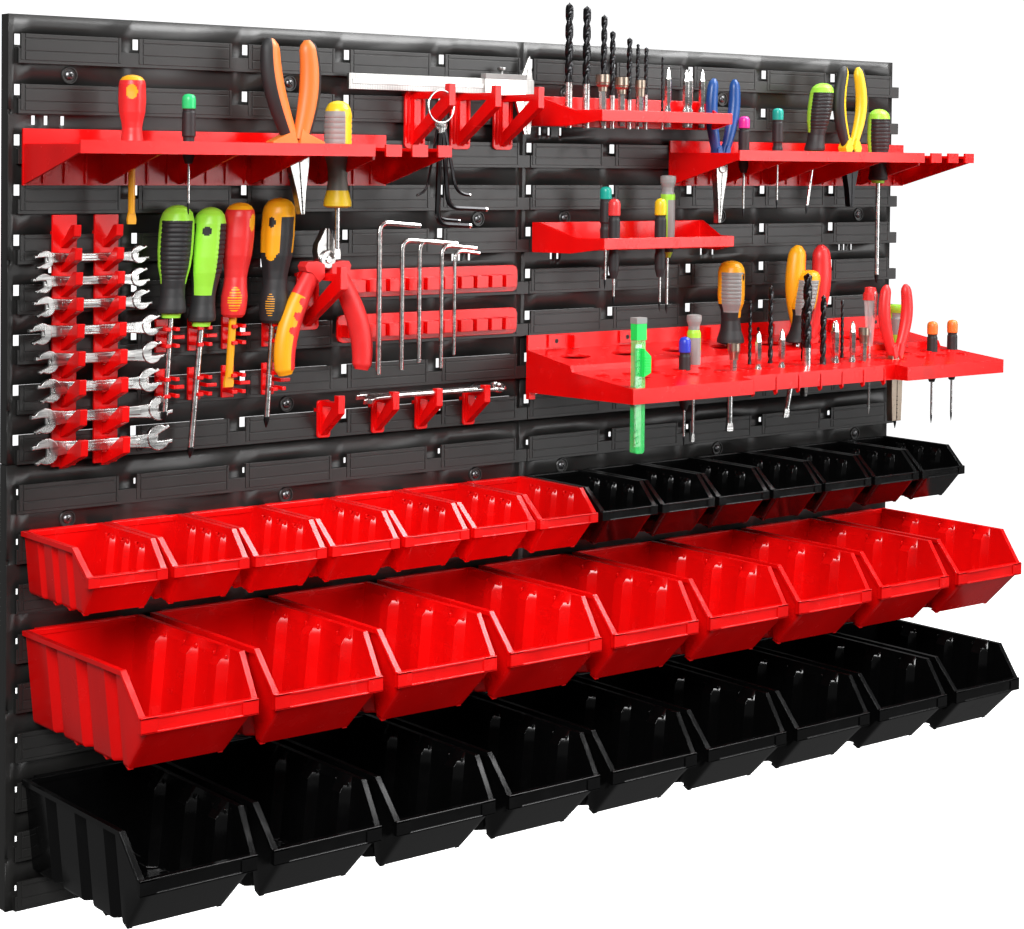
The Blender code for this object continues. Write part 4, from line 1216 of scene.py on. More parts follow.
class Grip(Enum):
    """Outlines of screwdriver handles: share of the length from the top, and share of the radius."""

    LOBED = (
        (0.0, 0.02), (0.008, 0.34), (0.03, 0.62), (0.07, 0.84), (0.14, 0.97), (0.26, 1.0), (0.42, 0.99),
        (0.55, 0.91), (0.66, 0.75), (0.74, 0.68), (0.82, 0.71), (0.92, 0.82), (0.955, 0.80),
        (0.965, 0.55), (1.0, 0.52),
    )
    DOME = (
        (0.0, 0.02), (0.008, 0.40), (0.03, 0.70), (0.07, 0.90), (0.12, 0.97), (0.30, 1.0), (0.46, 0.94),
        (0.58, 0.78), (0.65, 0.72), (0.73, 0.75), (0.82, 0.84), (0.90, 0.83), (0.975, 0.76), (1.0, 0.60),
    )
    SLIM = (
        (0.0, 0.05), (0.01, 0.62), (0.04, 0.92), (0.08, 1.0), (0.21, 1.0), (0.225, 0.86), (0.25, 0.86),
        (0.265, 0.97), (0.60, 1.0), (0.625, 0.82), (0.68, 0.80), (0.72, 0.95), (0.90, 0.86), (1.0, 0.52),
    )
    FLARED = (
        (0.0, 0.30), (0.01, 0.96), (0.05, 1.0), (0.09, 0.97), (0.15, 0.76), (0.20, 0.76), (0.24, 0.92),
        (0.60, 0.94), (0.84, 0.88), (0.88, 0.70), (0.91, 0.74), (0.94, 0.66), (1.0, 0.40),
    )
    GUARDED = (
        (0.0, 0.02), (0.008, 0.42), (0.03, 0.70), (0.08, 0.90), (0.14, 0.99), (0.42, 1.0), (0.52, 0.94),
        (0.60, 0.76), (0.72, 0.68), (0.84, 0.78), (0.94, 0.98), (0.985, 1.0), (1.0, 0.7),
    )


@dataclass(frozen=True)
class Driver:
    """A screwdriver that hangs by its handle, blade down."""

    name: str
    body: str
    at: tuple[float, float]
    top: float
    neck: float
    tip: float
    radius: float
    grip: Grip
    finish: Finish
    patches: tuple[Patch, ...] = ()
    ribs: tuple[float, float, int] = (0.0, 0.0, 0)
    lobes: float = 0.05
    shaft: float = 0.0024
    metal: Finish = BRIGHT
    lean: tuple[float, float] = (0.0, 0.0)
    cross: bool = False

    def handle(self, form: Form) -> None:
        """Adds the handle.

        Its radius at a share of the length is the outline's, less six shallow flutes (lobes times the
        cosine of six times the angle, strongest in the upper half) and less a groove at each rib.

        Args:
            form: where it goes.
        """
        columns = 24 if self.grip is Grip.SLIM else 56
        share = np.linspace(0.0, 1.0, 81 if self.grip is Grip.SLIM else 161)[:, None]
        angle = ((np.arange(columns) + 0.5) * math.tau / columns)[None, :]
        places, radii = np.array(self.grip.value).T
        radius = self.radius * np.interp(share, places, radii)
        window = eased(share, 0.08, 0.22) * (1 - eased(share, 0.55, 0.72))
        start, end, count = self.ribs
        inside = (share > start) & (share < end)
        wave = np.abs(np.sin((share - start) / max(end - start, 0.01) * math.pi * max(count, 1)))
        soft = np.zeros(inside.shape, bool) | (angle < 0)
        for patch in self.patches:
            soft = np.where(patch.covers(share, np.degrees(angle)), patch.finish in (RUBBER, GREY), soft)
        groove = np.where(inside & soft & (count > 0), 0.055 * (1 - wave) ** 2, 0.0)
        radius = radius * (1 - self.lobes * window * (0.5 + 0.5 * np.cos(6 * angle)) - groove)
        height = self.top - share * (self.top - self.neck) + angle * 0.0
        surface = np.stack([radius * np.cos(angle), radius * np.sin(angle), height], axis=-1)
        form.grid(surface, self.finish, patches=self.patches)

    def blade(self, form: Form) -> None:
        """Adds the shaft and its tip: flat, or pointed with a dark end."""
        thick, neck = self.shaft, self.neck + 0.001
        if self.cross:
            form.lathe([(neck, 0.0), (neck, thick), (self.tip + 0.010, thick)], self.metal, sides=12)
            point = [(0.010, thick), (0.006, thick * 0.92), (0.002, thick * 0.45), (0.0, thick * 0.2)]
            form.lathe([(self.tip + h, r) for h, r in point], OXIDE, sides=8)
            return
        form.lathe([(neck, 0.0), (neck, thick), (self.tip + 0.009, thick)], self.metal, sides=12)
        half = thick * 1.35
        outline = [
            (-thick, 0.010), (-half, 0.004), (-half * 0.9, 0.0), (half * 0.9, 0.0), (half, 0.004),
            (thick, 0.010),
        ]
        form.prism([(x, self.tip + z) for x, z in outline], -thick * 0.42, thick * 0.42, self.metal)

    def build(self) -> None:
        """Makes the driver."""
        form = Form()
        self.handle(form)
        self.blade(form)
        across, ahead = self.lean
        shear = np.array([[1.0, 0.0, across], [0.0, 1.0, ahead], [0.0, 0.0, 1.0]])
        at = (self.at[0] - across * self.top, self.at[1] - ahead * self.top, 0.0)
        form.piece(self.name, self.body, turn=shear, at=at)


FRONT = -112.0
LIME_PANEL = (
    Patch(RUBBER, 0.135, 0.72, FRONT, 150.0), Patch(RUBBER, 0.135, 0.72, FRONT + 180, 150.0),
    Patch(RUBBER, 0.70, 0.96),
)
LIME_NEAR = (
    Patch(RUBBER, 0.135, 0.72, FRONT - 9, 132.0), Patch(RUBBER, 0.135, 0.72, FRONT + 171, 132.0),
    Patch(RUBBER, 0.70, 0.96),
)
LIME_STRIP = (
    Patch(RUBBER, 0.135, 0.96), Patch(LIME, 0.10, 0.74, FRONT - 20, 92.0),
    Patch(LIME, 0.10, 0.74, FRONT + 160, 92.0),
    # Painted shade: a dark oval stands for a recess in the handle.
    Patch(PAINTED_RECESS_SHADE, 0.16, 0.24, FRONT - 20, 34.0, oval=True),
)
RED_LONG = (
    Patch(AMBER, 0.0, 0.065), Patch(AMBER, 0.10, 0.25, FRONT + 50, 42.0, oval=True),
    Patch(AMBER, 0.73, 0.955, FRONT - 10, 62.0, oval=True, stripes=5),
)
AMBER_LONG = (
    Patch(RUBBER, 0.44, 1.0), Patch(RUBBER, 0.15, 0.50, FRONT + 28, 62.0),
    Patch(RUBBER, 0.15, 0.50, FRONT - 152, 62.0),
    # Painted shade: a dark oval stands for a recess in the handle.
    Patch(PAINTED_RECESS_SHADE, 0.15, 0.235, FRONT - 38, 26.0, oval=True),
    Patch(AMBER, 0.30, 0.50, FRONT - 38, 58.0, oval=True),
    Patch(AMBER, 0.76, 0.95, FRONT - 28, 38.0, oval=True, stripes=5),
)
GREY_PANEL = (Patch(GREY, 0.14, 0.62, FRONT - 22, 110.0), Patch(GREY, 0.14, 0.62, FRONT + 158, 110.0))


def slim(
    name: str, body: str, at: tuple[float, float], top: float, tip: float, cap: Finish,
    neck: float = 0.062,
) -> Driver:
    """A precision driver: a coloured turning cap, a slim black handle and a fine blade.

    Args:
        name: its piece's name.
        body: the body it rides on.
        at: where it stands.
        top: the height of its cap.
        tip: the height of its blade's end.
        cap: the cap's finish.
        neck: the handle's length.

    Returns:
        The driver.
    """
    return Driver(
        name, body, at, top, top - neck, tip, 0.0062, Grip.SLIM, RUBBER,
        (Patch(cap, 0.0, 0.215),), (0.29, 0.58, 9), 0.03, 0.0013, cross=True,
    )


@dataclass(frozen=True)
class Pliers:
    """Pliers that stand or hang jaws down: two dipped handles, guards, a joint and two jaws."""

    name: str
    body: str
    at: tuple[float, float]
    top: float
    pivot: float
    tip: float
    spread: float
    outer: Finish
    inner: Finish
    jaw: Finish = STEEL
    bow: float = 0.008
    radius: float = 0.0078
    jaw_width: float = 0.0085
    guard: float = 0.013
    lean: float = 0.0
    streak: float = 150.0
    left: Finish | None = None
    flat: float = 0.72
    blunt: float = 0.20

    def handle(self, form: Form, side: float) -> None:
        """Adds a handle.

        Its centre runs up from the joint: the place across is the root, plus the rest of the spread times
        the sine of a quarter turn to the power 1.1, plus the bow times the sine of a half turn.

        Args:
            form: where it goes.
            side: 1 for the right handle, -1 for the left one.
        """
        share = np.linspace(0.0, 1.0, 22)
        low = self.pivot + 0.014
        root = 0.0055
        swing = (self.spread - root) * np.sin(share * math.pi / 2) ** 1.1
        across = root + swing + self.bow * np.sin(share * math.pi)
        height = low + (self.top - low) * share
        path = np.stack([side * across, 0.0 * share, height], axis=-1)
        thick = self.radius * (0.78 + 0.30 * np.sin(share * math.pi * 0.9) - 0.55 * eased(share, 0.93, 1.0))
        inside = 180.0 if side > 0 else 0.0
        outer = self.left if self.left and side < 0 else self.outer
        form.tube(
            path, thick, outer, 20, self.flat, patches=(Patch(self.inner, 0.0, 1.0, inside, self.streak),)
        )
        flare = [
            (0.001, low - 0.002), (0.0045, low + 0.011), (0.010, low + 0.007), (self.guard, low - 0.001),
            (self.guard - 0.002, low - 0.006), (0.004, low - 0.007),
        ]
        form.prism([(side * x, z) for x, z in flare], -0.0062, 0.0062, self.inner)

    def head(self, form: Form) -> None:
        """Adds the joint and the jaws, which taper to their tips, with painted shade for the grooves of
        their teeth.
        """
        low, high = -0.0040, 0.0040
        form.lathe(
            [(-0.0052, 0.0), (-0.0052, 0.0050), (-0.0044, 0.0060), (0.0044, 0.0060), (0.0052, 0.0)],
            self.jaw, (0.0, 0.0, self.pivot), 1, 18,
        )
        wide, length = self.jaw_width, self.pivot - self.tip
        for side in (-1.0, 1.0):
            jaw = [
                (0.0003, self.pivot + 0.012), (0.0070, self.pivot + 0.012), (wide, self.pivot),
                (wide * 0.92, self.pivot - 0.16 * length),
                (wide * (0.30 + 0.75 * self.blunt), self.pivot - 0.62 * length),
                (wide * self.blunt, self.tip), (0.0003, self.tip),
            ]
            form.prism([(side * x, z) for x, z in jaw], low, high, self.jaw)
            # Painted shade: dark bars stand for the grooves between the jaw's teeth.
            for i in range(6):
                z = self.tip + (0.06 + 0.075 * i) * length
                form.box(
                    (min(side * 0.0001, side * 0.0013), low - 0.0004, z),
                    (max(side * 0.0001, side * 0.0013), low + 0.001, z + 0.0012), PAINTED_RECESS_SHADE,
                )

    def build(self) -> None:
        """Makes the pliers."""
        form = Form()
        self.handle(form, -1.0)
        self.handle(form, 1.0)
        self.head(form)
        shear = np.array([[1.0, 0.0, self.lean], [0.0, 1.0, 0.0], [0.0, 0.0, 1.0]])
        at = (self.at[0] - self.lean * self.pivot, self.at[1], 0.0)
        form.piece(self.name, self.body, bevel=0.0005, turn=shear, at=at)


@dataclass(frozen=True)
class Cutters:
    """The side cutters on the fourth large hook, one piece for each half, in place of the CAD halves."""

    pivot: Point = (-0.270, -0.050, 0.1731833)
    reach: float = 0.104
    bow: float = 0.027
    radius: float = 0.0106

    def half(self, side: float, outer: Finish, inner: Finish, wave: float) -> Form:
        """One half: a handle on its own side of the joint and a jaw on the other.

        The handle's centre runs down from the joint: across is 0.014, plus the bow times the sine of
        0.62 half turns of the share, plus 0.004 times the share. Ovals of the inner colour along its
        inner side make the edge between the two colours wave.

        Args:
            side: -1 for the half whose handle is on the left.
            outer: the finish of the handle's outer side.
            inner: the finish of its inner side.
            wave: how far the inner colour reaches round, in degrees.

        Returns:
            The half, about the joint.
        """
        form = Form()
        share = np.linspace(0.0, 1.0, 90)
        across = 0.0140 + self.bow * np.sin(0.62 * math.pi * share) + 0.004 * share
        path = np.stack([side * across, 0.0 * share, -0.012 - (self.reach - 0.010) * share], axis=-1)
        thick = self.radius * (
            0.80 + 0.26 * np.sin(share * math.pi * 0.85) - 0.25 * eased(share, 0.94, 1.0)
        )
        within = 180.0 if side < 0 else 0.0
        patches = [Patch(inner, 0.0, 0.24), Patch(inner, 0.0, 0.96, within, wave)]
        patches += [
            Patch(inner, at, at + 0.12, within, wave + 70.0, oval=True) for at in (0.22, 0.36, 0.50)
        ]
        form.tube(path, thick, outer, 44, 0.74, patches=patches)
        guard = [
            (0.004, -0.004), (0.012, -0.001), (0.0235, -0.0015), (0.0262, -0.0058), (0.0245, -0.0105),
            (0.0185, -0.0120), (0.010, -0.021), (0.004, -0.016),
        ]
        form.prism([(side * x, z) for x, z in guard], -0.0068, 0.0068, inner)
        level = 0.0018 * side
        form.lathe(
            [(-0.0046, 0.0), (-0.0046, 0.0080), (-0.0038, 0.0092), (0.0038, 0.0092), (0.0046, 0.0)],
            STEEL, (0.0, level, 0.0), 1, 24,
        )
        jaw = [
            (0.0002, 0.0290), (0.0012, 0.0300), (0.0052, 0.0225), (0.0098, 0.0150), (0.0112, 0.0080),
            (0.0086, -0.0030), (0.0, -0.0050), (0.0002, 0.0140),
        ]
        form.prism([(-side * x, z) for x, z in jaw], -0.0046 + level * 0.4, 0.0046 + level * 0.4, STEEL)
        return form

    def build(self) -> None:
        """Makes both halves, and the rivet on the left one."""
        left = self.half(-1.0, AMBER, RED_GRIP, 150.0)
        left.lathe(
            [(-0.0078, 0.0), (-0.0078, 0.0030), (-0.0070, 0.0036), (-0.0050, 0.0036), (-0.0050, 0.0)],
            BRIGHT, (0.0, 0.0, 0.0), 1, 16,
        )
        left.piece(
            "cutter_left_grip", "cutter_left", bevel=0.0006, segments=2, at=self.pivot,
            slot="cutter_grip", replaces=["cutter_half_left"],
        )
        right = self.half(1.0, RED_GRIP, RED_GRIP, 90.0)
        right.piece(
            "cutter_right_grip", "cutter_right", bevel=0.0006, segments=2, at=self.pivot,
            slot="cutter_grip", replaces=["cutter_half_right"],
        )


@dataclass(frozen=True)
class Wrench:
    """A flat wrench that lies across: two forked heads, or a fork and a ring, on a waisted shank."""

    name: str
    body: str
    left: float
    right: float
    height: float
    reach: float
    head: float
    ring: bool = False
    lean: float = 0.0

    @staticmethod
    def bar(along: np.ndarray, half: np.ndarray) -> np.ndarray:
        """Outline of a waisted bar: along its upper edge, a half width above the middle, and back below."""
        return np.concatenate([np.stack([along, half], -1), np.stack([along, -half], -1)[::-1]])

    @staticmethod
    def fork(centre: tuple[float, float], radius: float, facing: float, depth: float) -> np.ndarray:
        """Outline of a head with a U-shaped mouth.

        The outline goes round the head from one lip to the other and back along the mouth, whose sides
        are half as far apart as the head is wide.

        Args:
            centre: the head's middle.
            radius: the head's radius.
            facing: the mouth's direction in degrees.
            depth: how far the mouth reaches past the middle, in radii.

        Returns:
            The outline.
        """
        lip = 33.0
        rim = arc(centre, radius, facing + lip + 12, facing + 360 - lip - 12, 20)
        way = np.array([math.cos(math.radians(facing)), math.sin(math.radians(facing))])
        side = np.array([-way[1], way[0]])
        gap = radius * 0.40
        ends = [
            (1.02, -0.98), (1.16, -0.60), (0.30, -0.42), (-depth, -0.26), (-depth, 0.26), (0.30, 0.42),
            (1.16, 0.60), (1.02, 0.98),
        ]
        mouth = np.array([np.asarray(centre) + radius * a * way + 2 * gap * b * side for a, b in ends])
        return np.concatenate([rim, mouth])

    def build(self) -> None:
        """Makes the wrench."""
        form = Form()
        length, radius = self.right - self.left, self.head
        thick = 0.0026
        ends = (radius * 1.1, length - radius * 1.1)
        rise = radius * 0.18
        share = np.linspace(0.0, 1.0, 13)
        along = ends[0] + (ends[1] - ends[0]) * share
        half = radius * (0.44 + 0.30 * np.abs(2 * share - 1) ** 4)
        deep, proud = thick * 0.62, 0.0005
        form.prism(self.bar(along, half), -deep, deep, CHROME)
        form.prism(self.bar(along[2:-2], half[2:-2] * 0.5), -deep - proud, deep + proud, CHROME)
        form.prism(self.fork((ends[0], -rise), radius, 195.0, 0.22), -thick, thick, CHROME)
        if self.ring:
            ring = upright(arc((ends[1], 0.0), radius * 0.78, 0, 345, 24), 0.0)
            form.tube(ring, radius * 0.24, CHROME, 8, 1.5, loop=True)
            high, deep = radius * 0.35, thick * 0.6
            form.box((ends[1] - radius * 1.4, -deep, -high), (ends[1] - radius * 0.7, deep, high), CHROME)
        else:
            form.prism(self.fork((ends[1], rise), radius, 15.0, 0.22), -thick, thick, CHROME)
        turn = turned_by(0, self.lean)
        form.piece(
            self.name, self.body, bevel=0.0009, segments=2, turn=turn,
            at=(self.left, self.reach, self.height),
        )


@dataclass(frozen=True)
class Keys:
    """Hexagon keys: five bright ones on the upper rail, and a bunch of black ones on a ring."""

    bright: ClassVar[tuple] = (
        (-0.214, 0.208, 0.063, -0.166, 0.0027), (-0.187, 0.191, 0.066, -0.138, 0.0025),
        (-0.166, 0.190, 0.072, -0.120, 0.0023), (-0.139, 0.185, 0.065, -0.096, 0.0022),
        (-0.123, 0.180, 0.077, -0.092, 0.0019),
    )
    black: ClassVar[tuple] = (
        (-0.166, 0.302, 0.236, -0.176, 0.0013, 0.010), (-0.159, 0.302, 0.206, -0.118, 0.0028, 0.002),
        (-0.157, 0.302, 0.211, -0.128, 0.0016, 0.006), (-0.152, 0.302, 0.222, -0.104, 0.0024, -0.006),
        (-0.147, 0.302, 0.236, -0.130, 0.0018, -0.012),
    )

    ring: Point = (-0.157, -0.0800, 0.3190)
    eyes: float = 0.3010
    rail: float = -0.060

    def gathered(self, x: float) -> float:
        """Where a black key's upper end is: 0.4 of the way from the ring's middle to the key's own place."""
        return self.ring[0] + (x - self.ring[0]) * 0.4

    def build(self) -> None:
        """Makes the bright keys, the bunch and its ring."""
        for i, (x, top, low, arm, radius) in enumerate(self.bright):
            corners = [(arm, self.rail, top - 0.004), (x, self.rail, top), (x, self.rail, low)]
            path = bent(corners, 0.011, 6)
            form = Form().tube(path, radius, BRIGHT, 6, level=(0.0, 1.0, 0.0))
            form.piece(f"hex_key_bright_{i + 1}", "key_rail_upper", bevel=0.0004)
        middle, reach, height = self.ring
        for i, (x, top, low, arm, radius, drift) in enumerate(self.black):
            y = reach + drift
            path = evenly(
                bent([(self.gathered(x), reach, top), (x, y, low), (arm, y, low - 0.002)], 0.012, 6), 48
            )
            worn = (Patch(CHROME, 0.0, 0.07), Patch(CHROME, 0.97, 1.0))
            form = Form().tube(path, radius, OXIDE, 6, level=(0.0, 1.0, 0.0), patches=worn)
            form.piece(f"hex_key_black_{i + 1}", "large_hook_1", bevel=0.0003)
        loop = arc((middle, height), 0.0155, 0, 350, 36)
        form = Form().tube(upright(loop, reach), 0.0010, CHROME, 8, loop=True)
        for x, *_ in self.black:
            eye = arc((self.gathered(x), self.eyes), 0.0030, 0, 330, 12)
            form.tube(upright(eye, reach), 0.0007, CHROME, 6, loop=True)
        form.piece("key_ring", "large_hook_1")


@dataclass(frozen=True)
class Caliper:
    """A steel vernier caliper that lies on the large hooks."""

    left: float = -0.231
    right: float = 0.000
    low: float = 0.3345
    high: float = 0.3500
    reach: float = -0.030

    def build(self) -> None:
        """Makes the beam with its jaws, and the slider with its own and a locking screw."""
        y, low, high, right = self.reach, self.low, self.high, self.right
        beam = Form().box((self.left, y - 0.0018, low), (right, y + 0.0018, high), RULE)
        beam.box(
            (self.left + 0.004, y - 0.0022, low + 0.0052), (right - 0.030, y - 0.0010, high - 0.0052),
            STEEL,
        )
        beam.prism(
            [
                (right - 0.013, low), (right, low), (right - 0.004, low - 0.040),
                (right - 0.0085, low - 0.040),
            ],
            y - 0.0016, y + 0.0016, STEEL,
        )
        beam.prism(
            [
                (right - 0.0015, high), (right - 0.010, high), (right - 0.0062, high + 0.0240),
                (right - 0.0052, high + 0.0240),
            ],
            y - 0.0012, y + 0.0012, STEEL,
        )
        beam.piece("caliper_beam", "large_hook_1", bevel=0.0004)
        slider = Form().box(
            (right - 0.066, y - 0.0040, low - 0.0012), (right - 0.0125, y + 0.0030, high + 0.0006), BRIGHT
        )
        slider.box(
            (right - 0.066, y - 0.0046, high - 0.0006), (right - 0.0125, y + 0.0036, high + 0.0050), GREY
        )
        slider.prism(
            [
                (right - 0.0260, low), (right - 0.0135, low), (right - 0.0090, low - 0.040),
                (right - 0.0120, low - 0.040),
            ],
            y - 0.0016, y + 0.0016, BRIGHT,
        )
        slider.prism(
            [
                (right - 0.0180, high), (right - 0.0110, high), (right - 0.0068, high + 0.0225),
                (right - 0.0078, high + 0.0225),
            ],
            y - 0.0014, y + 0.0010, BRIGHT,
        )
        slider.lathe(
            [
                (0.0, 0.0), (0.0, 0.0016), (0.0035, 0.0018), (0.0045, 0.0044), (0.0070, 0.0046),
                (0.0076, 0.0),
            ],
            CHROME, (right - 0.042, y, high + 0.0046), 2, 16,
        )
        slider.piece("caliper_slider", "large_hook_1", bevel=0.0004)


class Stem(Enum):
    """What stands in a socket, by the word that its piece's name has."""

    DRILL = "drill"
    NUT = "nut"
    BIT = "bit"


@dataclass(frozen=True)
class Bit:
    """Something slim that stands in a socket: a drill, a nut driver or a screwdriver bit."""

    name: str
    body: str
    at: tuple[float, float]
    top: float
    low: float
    radius: float
    shank: float = 0.35
    finish: Finish = OXIDE
    kind: Stem = Stem.DRILL
    replaces: tuple[str, ...] = ()
    flute: float = 0.46

    def drill(self, form: Form) -> None:
        """Adds a twist drill.

        Two grooves wind up it: at a height z and an angle a, the radius is the full one less the flute's
        share of it where the sine of a minus the twist times z, squared, is near 1.

        Args:
            form: where it goes.
        """
        start = self.low + (self.top - self.low) * self.shank
        form.lathe(
            [(self.low, 0.0), (self.low, self.radius * 0.96), (start + 0.001, self.radius * 0.96)],
            BRIGHT, sides=12,
        )
        height = np.linspace(start, self.top, 90)[:, None]
        angle = ((np.arange(20) + 0.5) * math.tau / 20)[None, :]
        twist = math.tau / (self.radius * 9.0)
        groove = np.clip(np.sin(angle - twist * (height - start)) ** 2 * 1.9 - 0.75, 0.0, 1.0)
        grown = eased(height, start, start + self.radius * 2)
        point = 1 - 0.92 * eased(height, self.top - self.radius * 0.9, self.top)
        radius = self.radius * (1 - self.flute * groove * grown) * point
        surface = np.stack([radius * np.cos(angle), radius * np.sin(angle), height + angle * 0.0], axis=-1)
        form.grid(surface, self.finish)

    def nut(self, form: Form) -> None:
        """Adds a nut driver: a hexagon shank and a wider socket with an open end."""
        wide, neck = self.radius, self.top - 0.019
        form.lathe(
            [(self.low, 0.0), (self.low, 0.0036), (neck + 0.004, 0.0038), (neck + 0.004, 0.0)], BRIGHT,
            sides=6,
        )
        cup = [
            (neck + 0.002, 0.0), (neck + 0.002, 0.0046), (neck + 0.0065, 0.0048),
            (neck + 0.0085, wide * 0.9), (neck + 0.0105, wide * 0.93), (neck + 0.011, wide),
            (self.top, wide), (self.top, wide * 0.72), (self.top - 0.007, wide * 0.72),
            (self.top - 0.007, 0.0),
        ]
        form.lathe(cup, self.finish, sides=20)

    def bit(self, form: Form) -> None:
        """Adds a hexagon bit with a waist and a small point."""
        length = self.top - self.low
        hexagon = [
            (0.0, 0.0), (0.0, self.radius * 0.9), (0.03, self.radius), (0.30, self.radius),
            (0.33, self.radius * 0.74), (0.40, self.radius * 0.74), (0.43, self.radius),
        ]
        form.lathe(
            [(self.low + h * length, r) for h, r in (*hexagon, (0.80, self.radius))], self.finish, sides=6
        )
        point = [
            (0.80, self.radius * 0.95), (0.86, self.radius * 0.72), (0.94, self.radius * 0.66),
            (0.985, self.radius * 0.30), (1.0, self.radius * 0.12),
        ]
        form.lathe([(self.low + h * length, r) for h, r in point], self.finish, sides=8)

    def build(self) -> None:
        """Makes it, in place of a CAD node if it replaces one."""
        form = Form()
        {Stem.DRILL: self.drill, Stem.NUT: self.nut, Stem.BIT: self.bit}[self.kind](form)
        bevel = 0.0003 if self.kind is Stem.BIT else 0.0
        slot = "drill_steel" if self.replaces else ""
        form.piece(self.name, self.body, bevel=bevel, at=(*self.at, 0.0), slot=slot, replaces=self.replaces)


class BitRows:
    """Everything that stands in the sockets of the bit shelves and of the tray's lower deck."""

    upper: ClassVar[tuple] = (
        (0.0290, 0.430, 0.0042, 0.36), (0.0530, 0.428, 0.0042, 0.36), (0.0770, 0.420, 0.0033, 0.34),
        (0.0890, 0.404, 0.0030, 0.34), (0.1130, 0.398, 0.0029, 0.32), (0.1250, 0.392, 0.0021, 0.30),
        (0.1370, 0.389, 0.0022, 0.42), (0.1610, 0.380, 0.0015, 0.10),
    )
    nuts: ClassVar[tuple] = ((0.0470, 0.356, 0.0074), (0.0730, 0.354, 0.0074), (0.0990, 0.352, 0.0054))
    bits: ClassVar[tuple] = ((0.1385, 0.367), (0.1645, 0.365), (0.1700, 0.366), (0.1880, 0.366))
    tray: ClassVar[tuple] = (
        (Stem.DRILL, 0.2334, -0.115, 0.122, 0.0019), (Stem.DRILL, 0.2650, -0.115, 0.137, 0.0028),
        (Stem.DRILL, 0.2970, -0.138, 0.151, 0.0048), (Stem.DRILL, 0.3160, -0.115, 0.112, 0.0024),
        (Stem.DRILL, 0.3225, -0.138, 0.126, 0.0034), (Stem.DRILL, 0.3790, -0.115, 0.118, 0.0019),
        (Stem.NUT, 0.1860, -0.138, 0.080, 0.0064), (Stem.BIT, 0.2227, -0.138, 0.091, 0.0038),
        (Stem.BIT, 0.2583, -0.138, 0.092, 0.0038), (Stem.BIT, 0.3430, -0.138, 0.098, 0.0040),
        (Stem.BIT, 0.3510, -0.128, 0.096, 0.0036), (Stem.BIT, 0.3700, -0.138, 0.096, 0.0038),
        (Stem.NUT, 0.3885, -0.138, 0.088, 0.0060),
    )

    def build(self) -> None:
        """Makes the three rows."""
        for i, (x, top, radius, shank) in enumerate(self.upper):
            stands = (f"tall_drill_{i + 1}",) if i < 2 else ()
            Bit(
                f"wood_drill_{i + 1}", "bit_shelf_upper", (x, -0.052), top, 0.3020, radius, shank,
                replaces=stands,
            ).build()
        for i, (x, top, radius) in enumerate(self.nuts):
            Bit(
                f"nut_driver_{i + 1}", "bit_shelf_upper", (x, -0.084), top, 0.3040, radius, finish=BRONZE,
                kind=Stem.NUT,
            ).build()
        for i, (x, top) in enumerate(self.bits):
            Bit(
                f"long_bit_{i + 1}", "bit_shelf_upper", (x, -0.084), top, 0.3040, 0.0036, finish=BRIGHT,
                kind=Stem.BIT,
            ).build()
        for i, (kind, x, y, top, radius) in enumerate(self.tray):
            finish = {Stem.DRILL: OXIDE, Stem.NUT: BRONZE, Stem.BIT: BRIGHT}[kind]
            shank = 0.30 if radius > 0.004 else 0.06
            Bit(
                f"tray_{kind.value}_{i + 1}", "tool_tray", (x, y), top, 0.036, radius, shank, finish, kind
            ).build()


@dataclass(frozen=True)
class Knife:
    """A snap-off knife in tinted clear plastic, upright at the tray's front edge."""

    at: Point = (0.016, -0.1745, 0.0)
    top: float = 0.116
    low: float = -0.017
    half: float = 0.0060

    def build(self) -> None:
        """Makes the case, the end cap, the slider and the blade, whose score lines are painted shade."""
        form = Form()
        wide, deep = self.half, 0.0042
        case = np.concatenate(
            [
                arc((-wide + 0.003, self.low + 0.003), 0.003, 180, 270, 4),
                arc((wide - 0.003, self.low + 0.003), 0.003, 270, 360, 4),
                [(wide, self.top - 0.004), (-wide, self.top - 0.004)],
            ]
        )
        form.prism(case, -deep, deep, GREEN_CLEAR)
        form.box(
            (-wide - 0.0006, -deep - 0.0008, self.top - 0.022), (wide + 0.0006, deep, self.top - 0.006),
            KNIFE_GREEN,
        )
        form.box(
            (-wide - 0.0008, -deep - 0.0010, self.top - 0.006), (wide + 0.0008, deep + 0.0006, self.top),
            GREY,
        )
        form.prism(
            [(wide * 0.2, 0.058), (wide + 0.0045, 0.062), (wide + 0.0045, 0.078), (wide * 0.2, 0.086)],
            -deep - 0.0035, deep * 0.4, KNIFE_GREEN,
        )
        for i in range(6):
            form.box(
                (wide * 0.35, -deep - 0.0042, 0.0635 + i * 0.0026),
                (wide + 0.0030, -deep - 0.0028, 0.0647 + i * 0.0026), KNIFE_GREEN,
            )
        form.box((-0.0046, -0.0006, self.low + 0.006), (0.0046, 0.0006, 0.090), BRIGHT)
        # Painted shade: dark slanted strips stand for the blade's score grooves.
        for i in range(14):
            z = self.low + 0.008 + i * 0.0062
            form.prism(
                [(-0.0046, z), (-0.0046, z + 0.0008), (0.0046, z + 0.0042), (0.0046, z + 0.0034)],
                -0.0010, -0.0005, PAINTED_RECESS_SHADE,
            )
        form.piece("snap_knife", "tool_tray", bevel=0.0006, at=self.at)


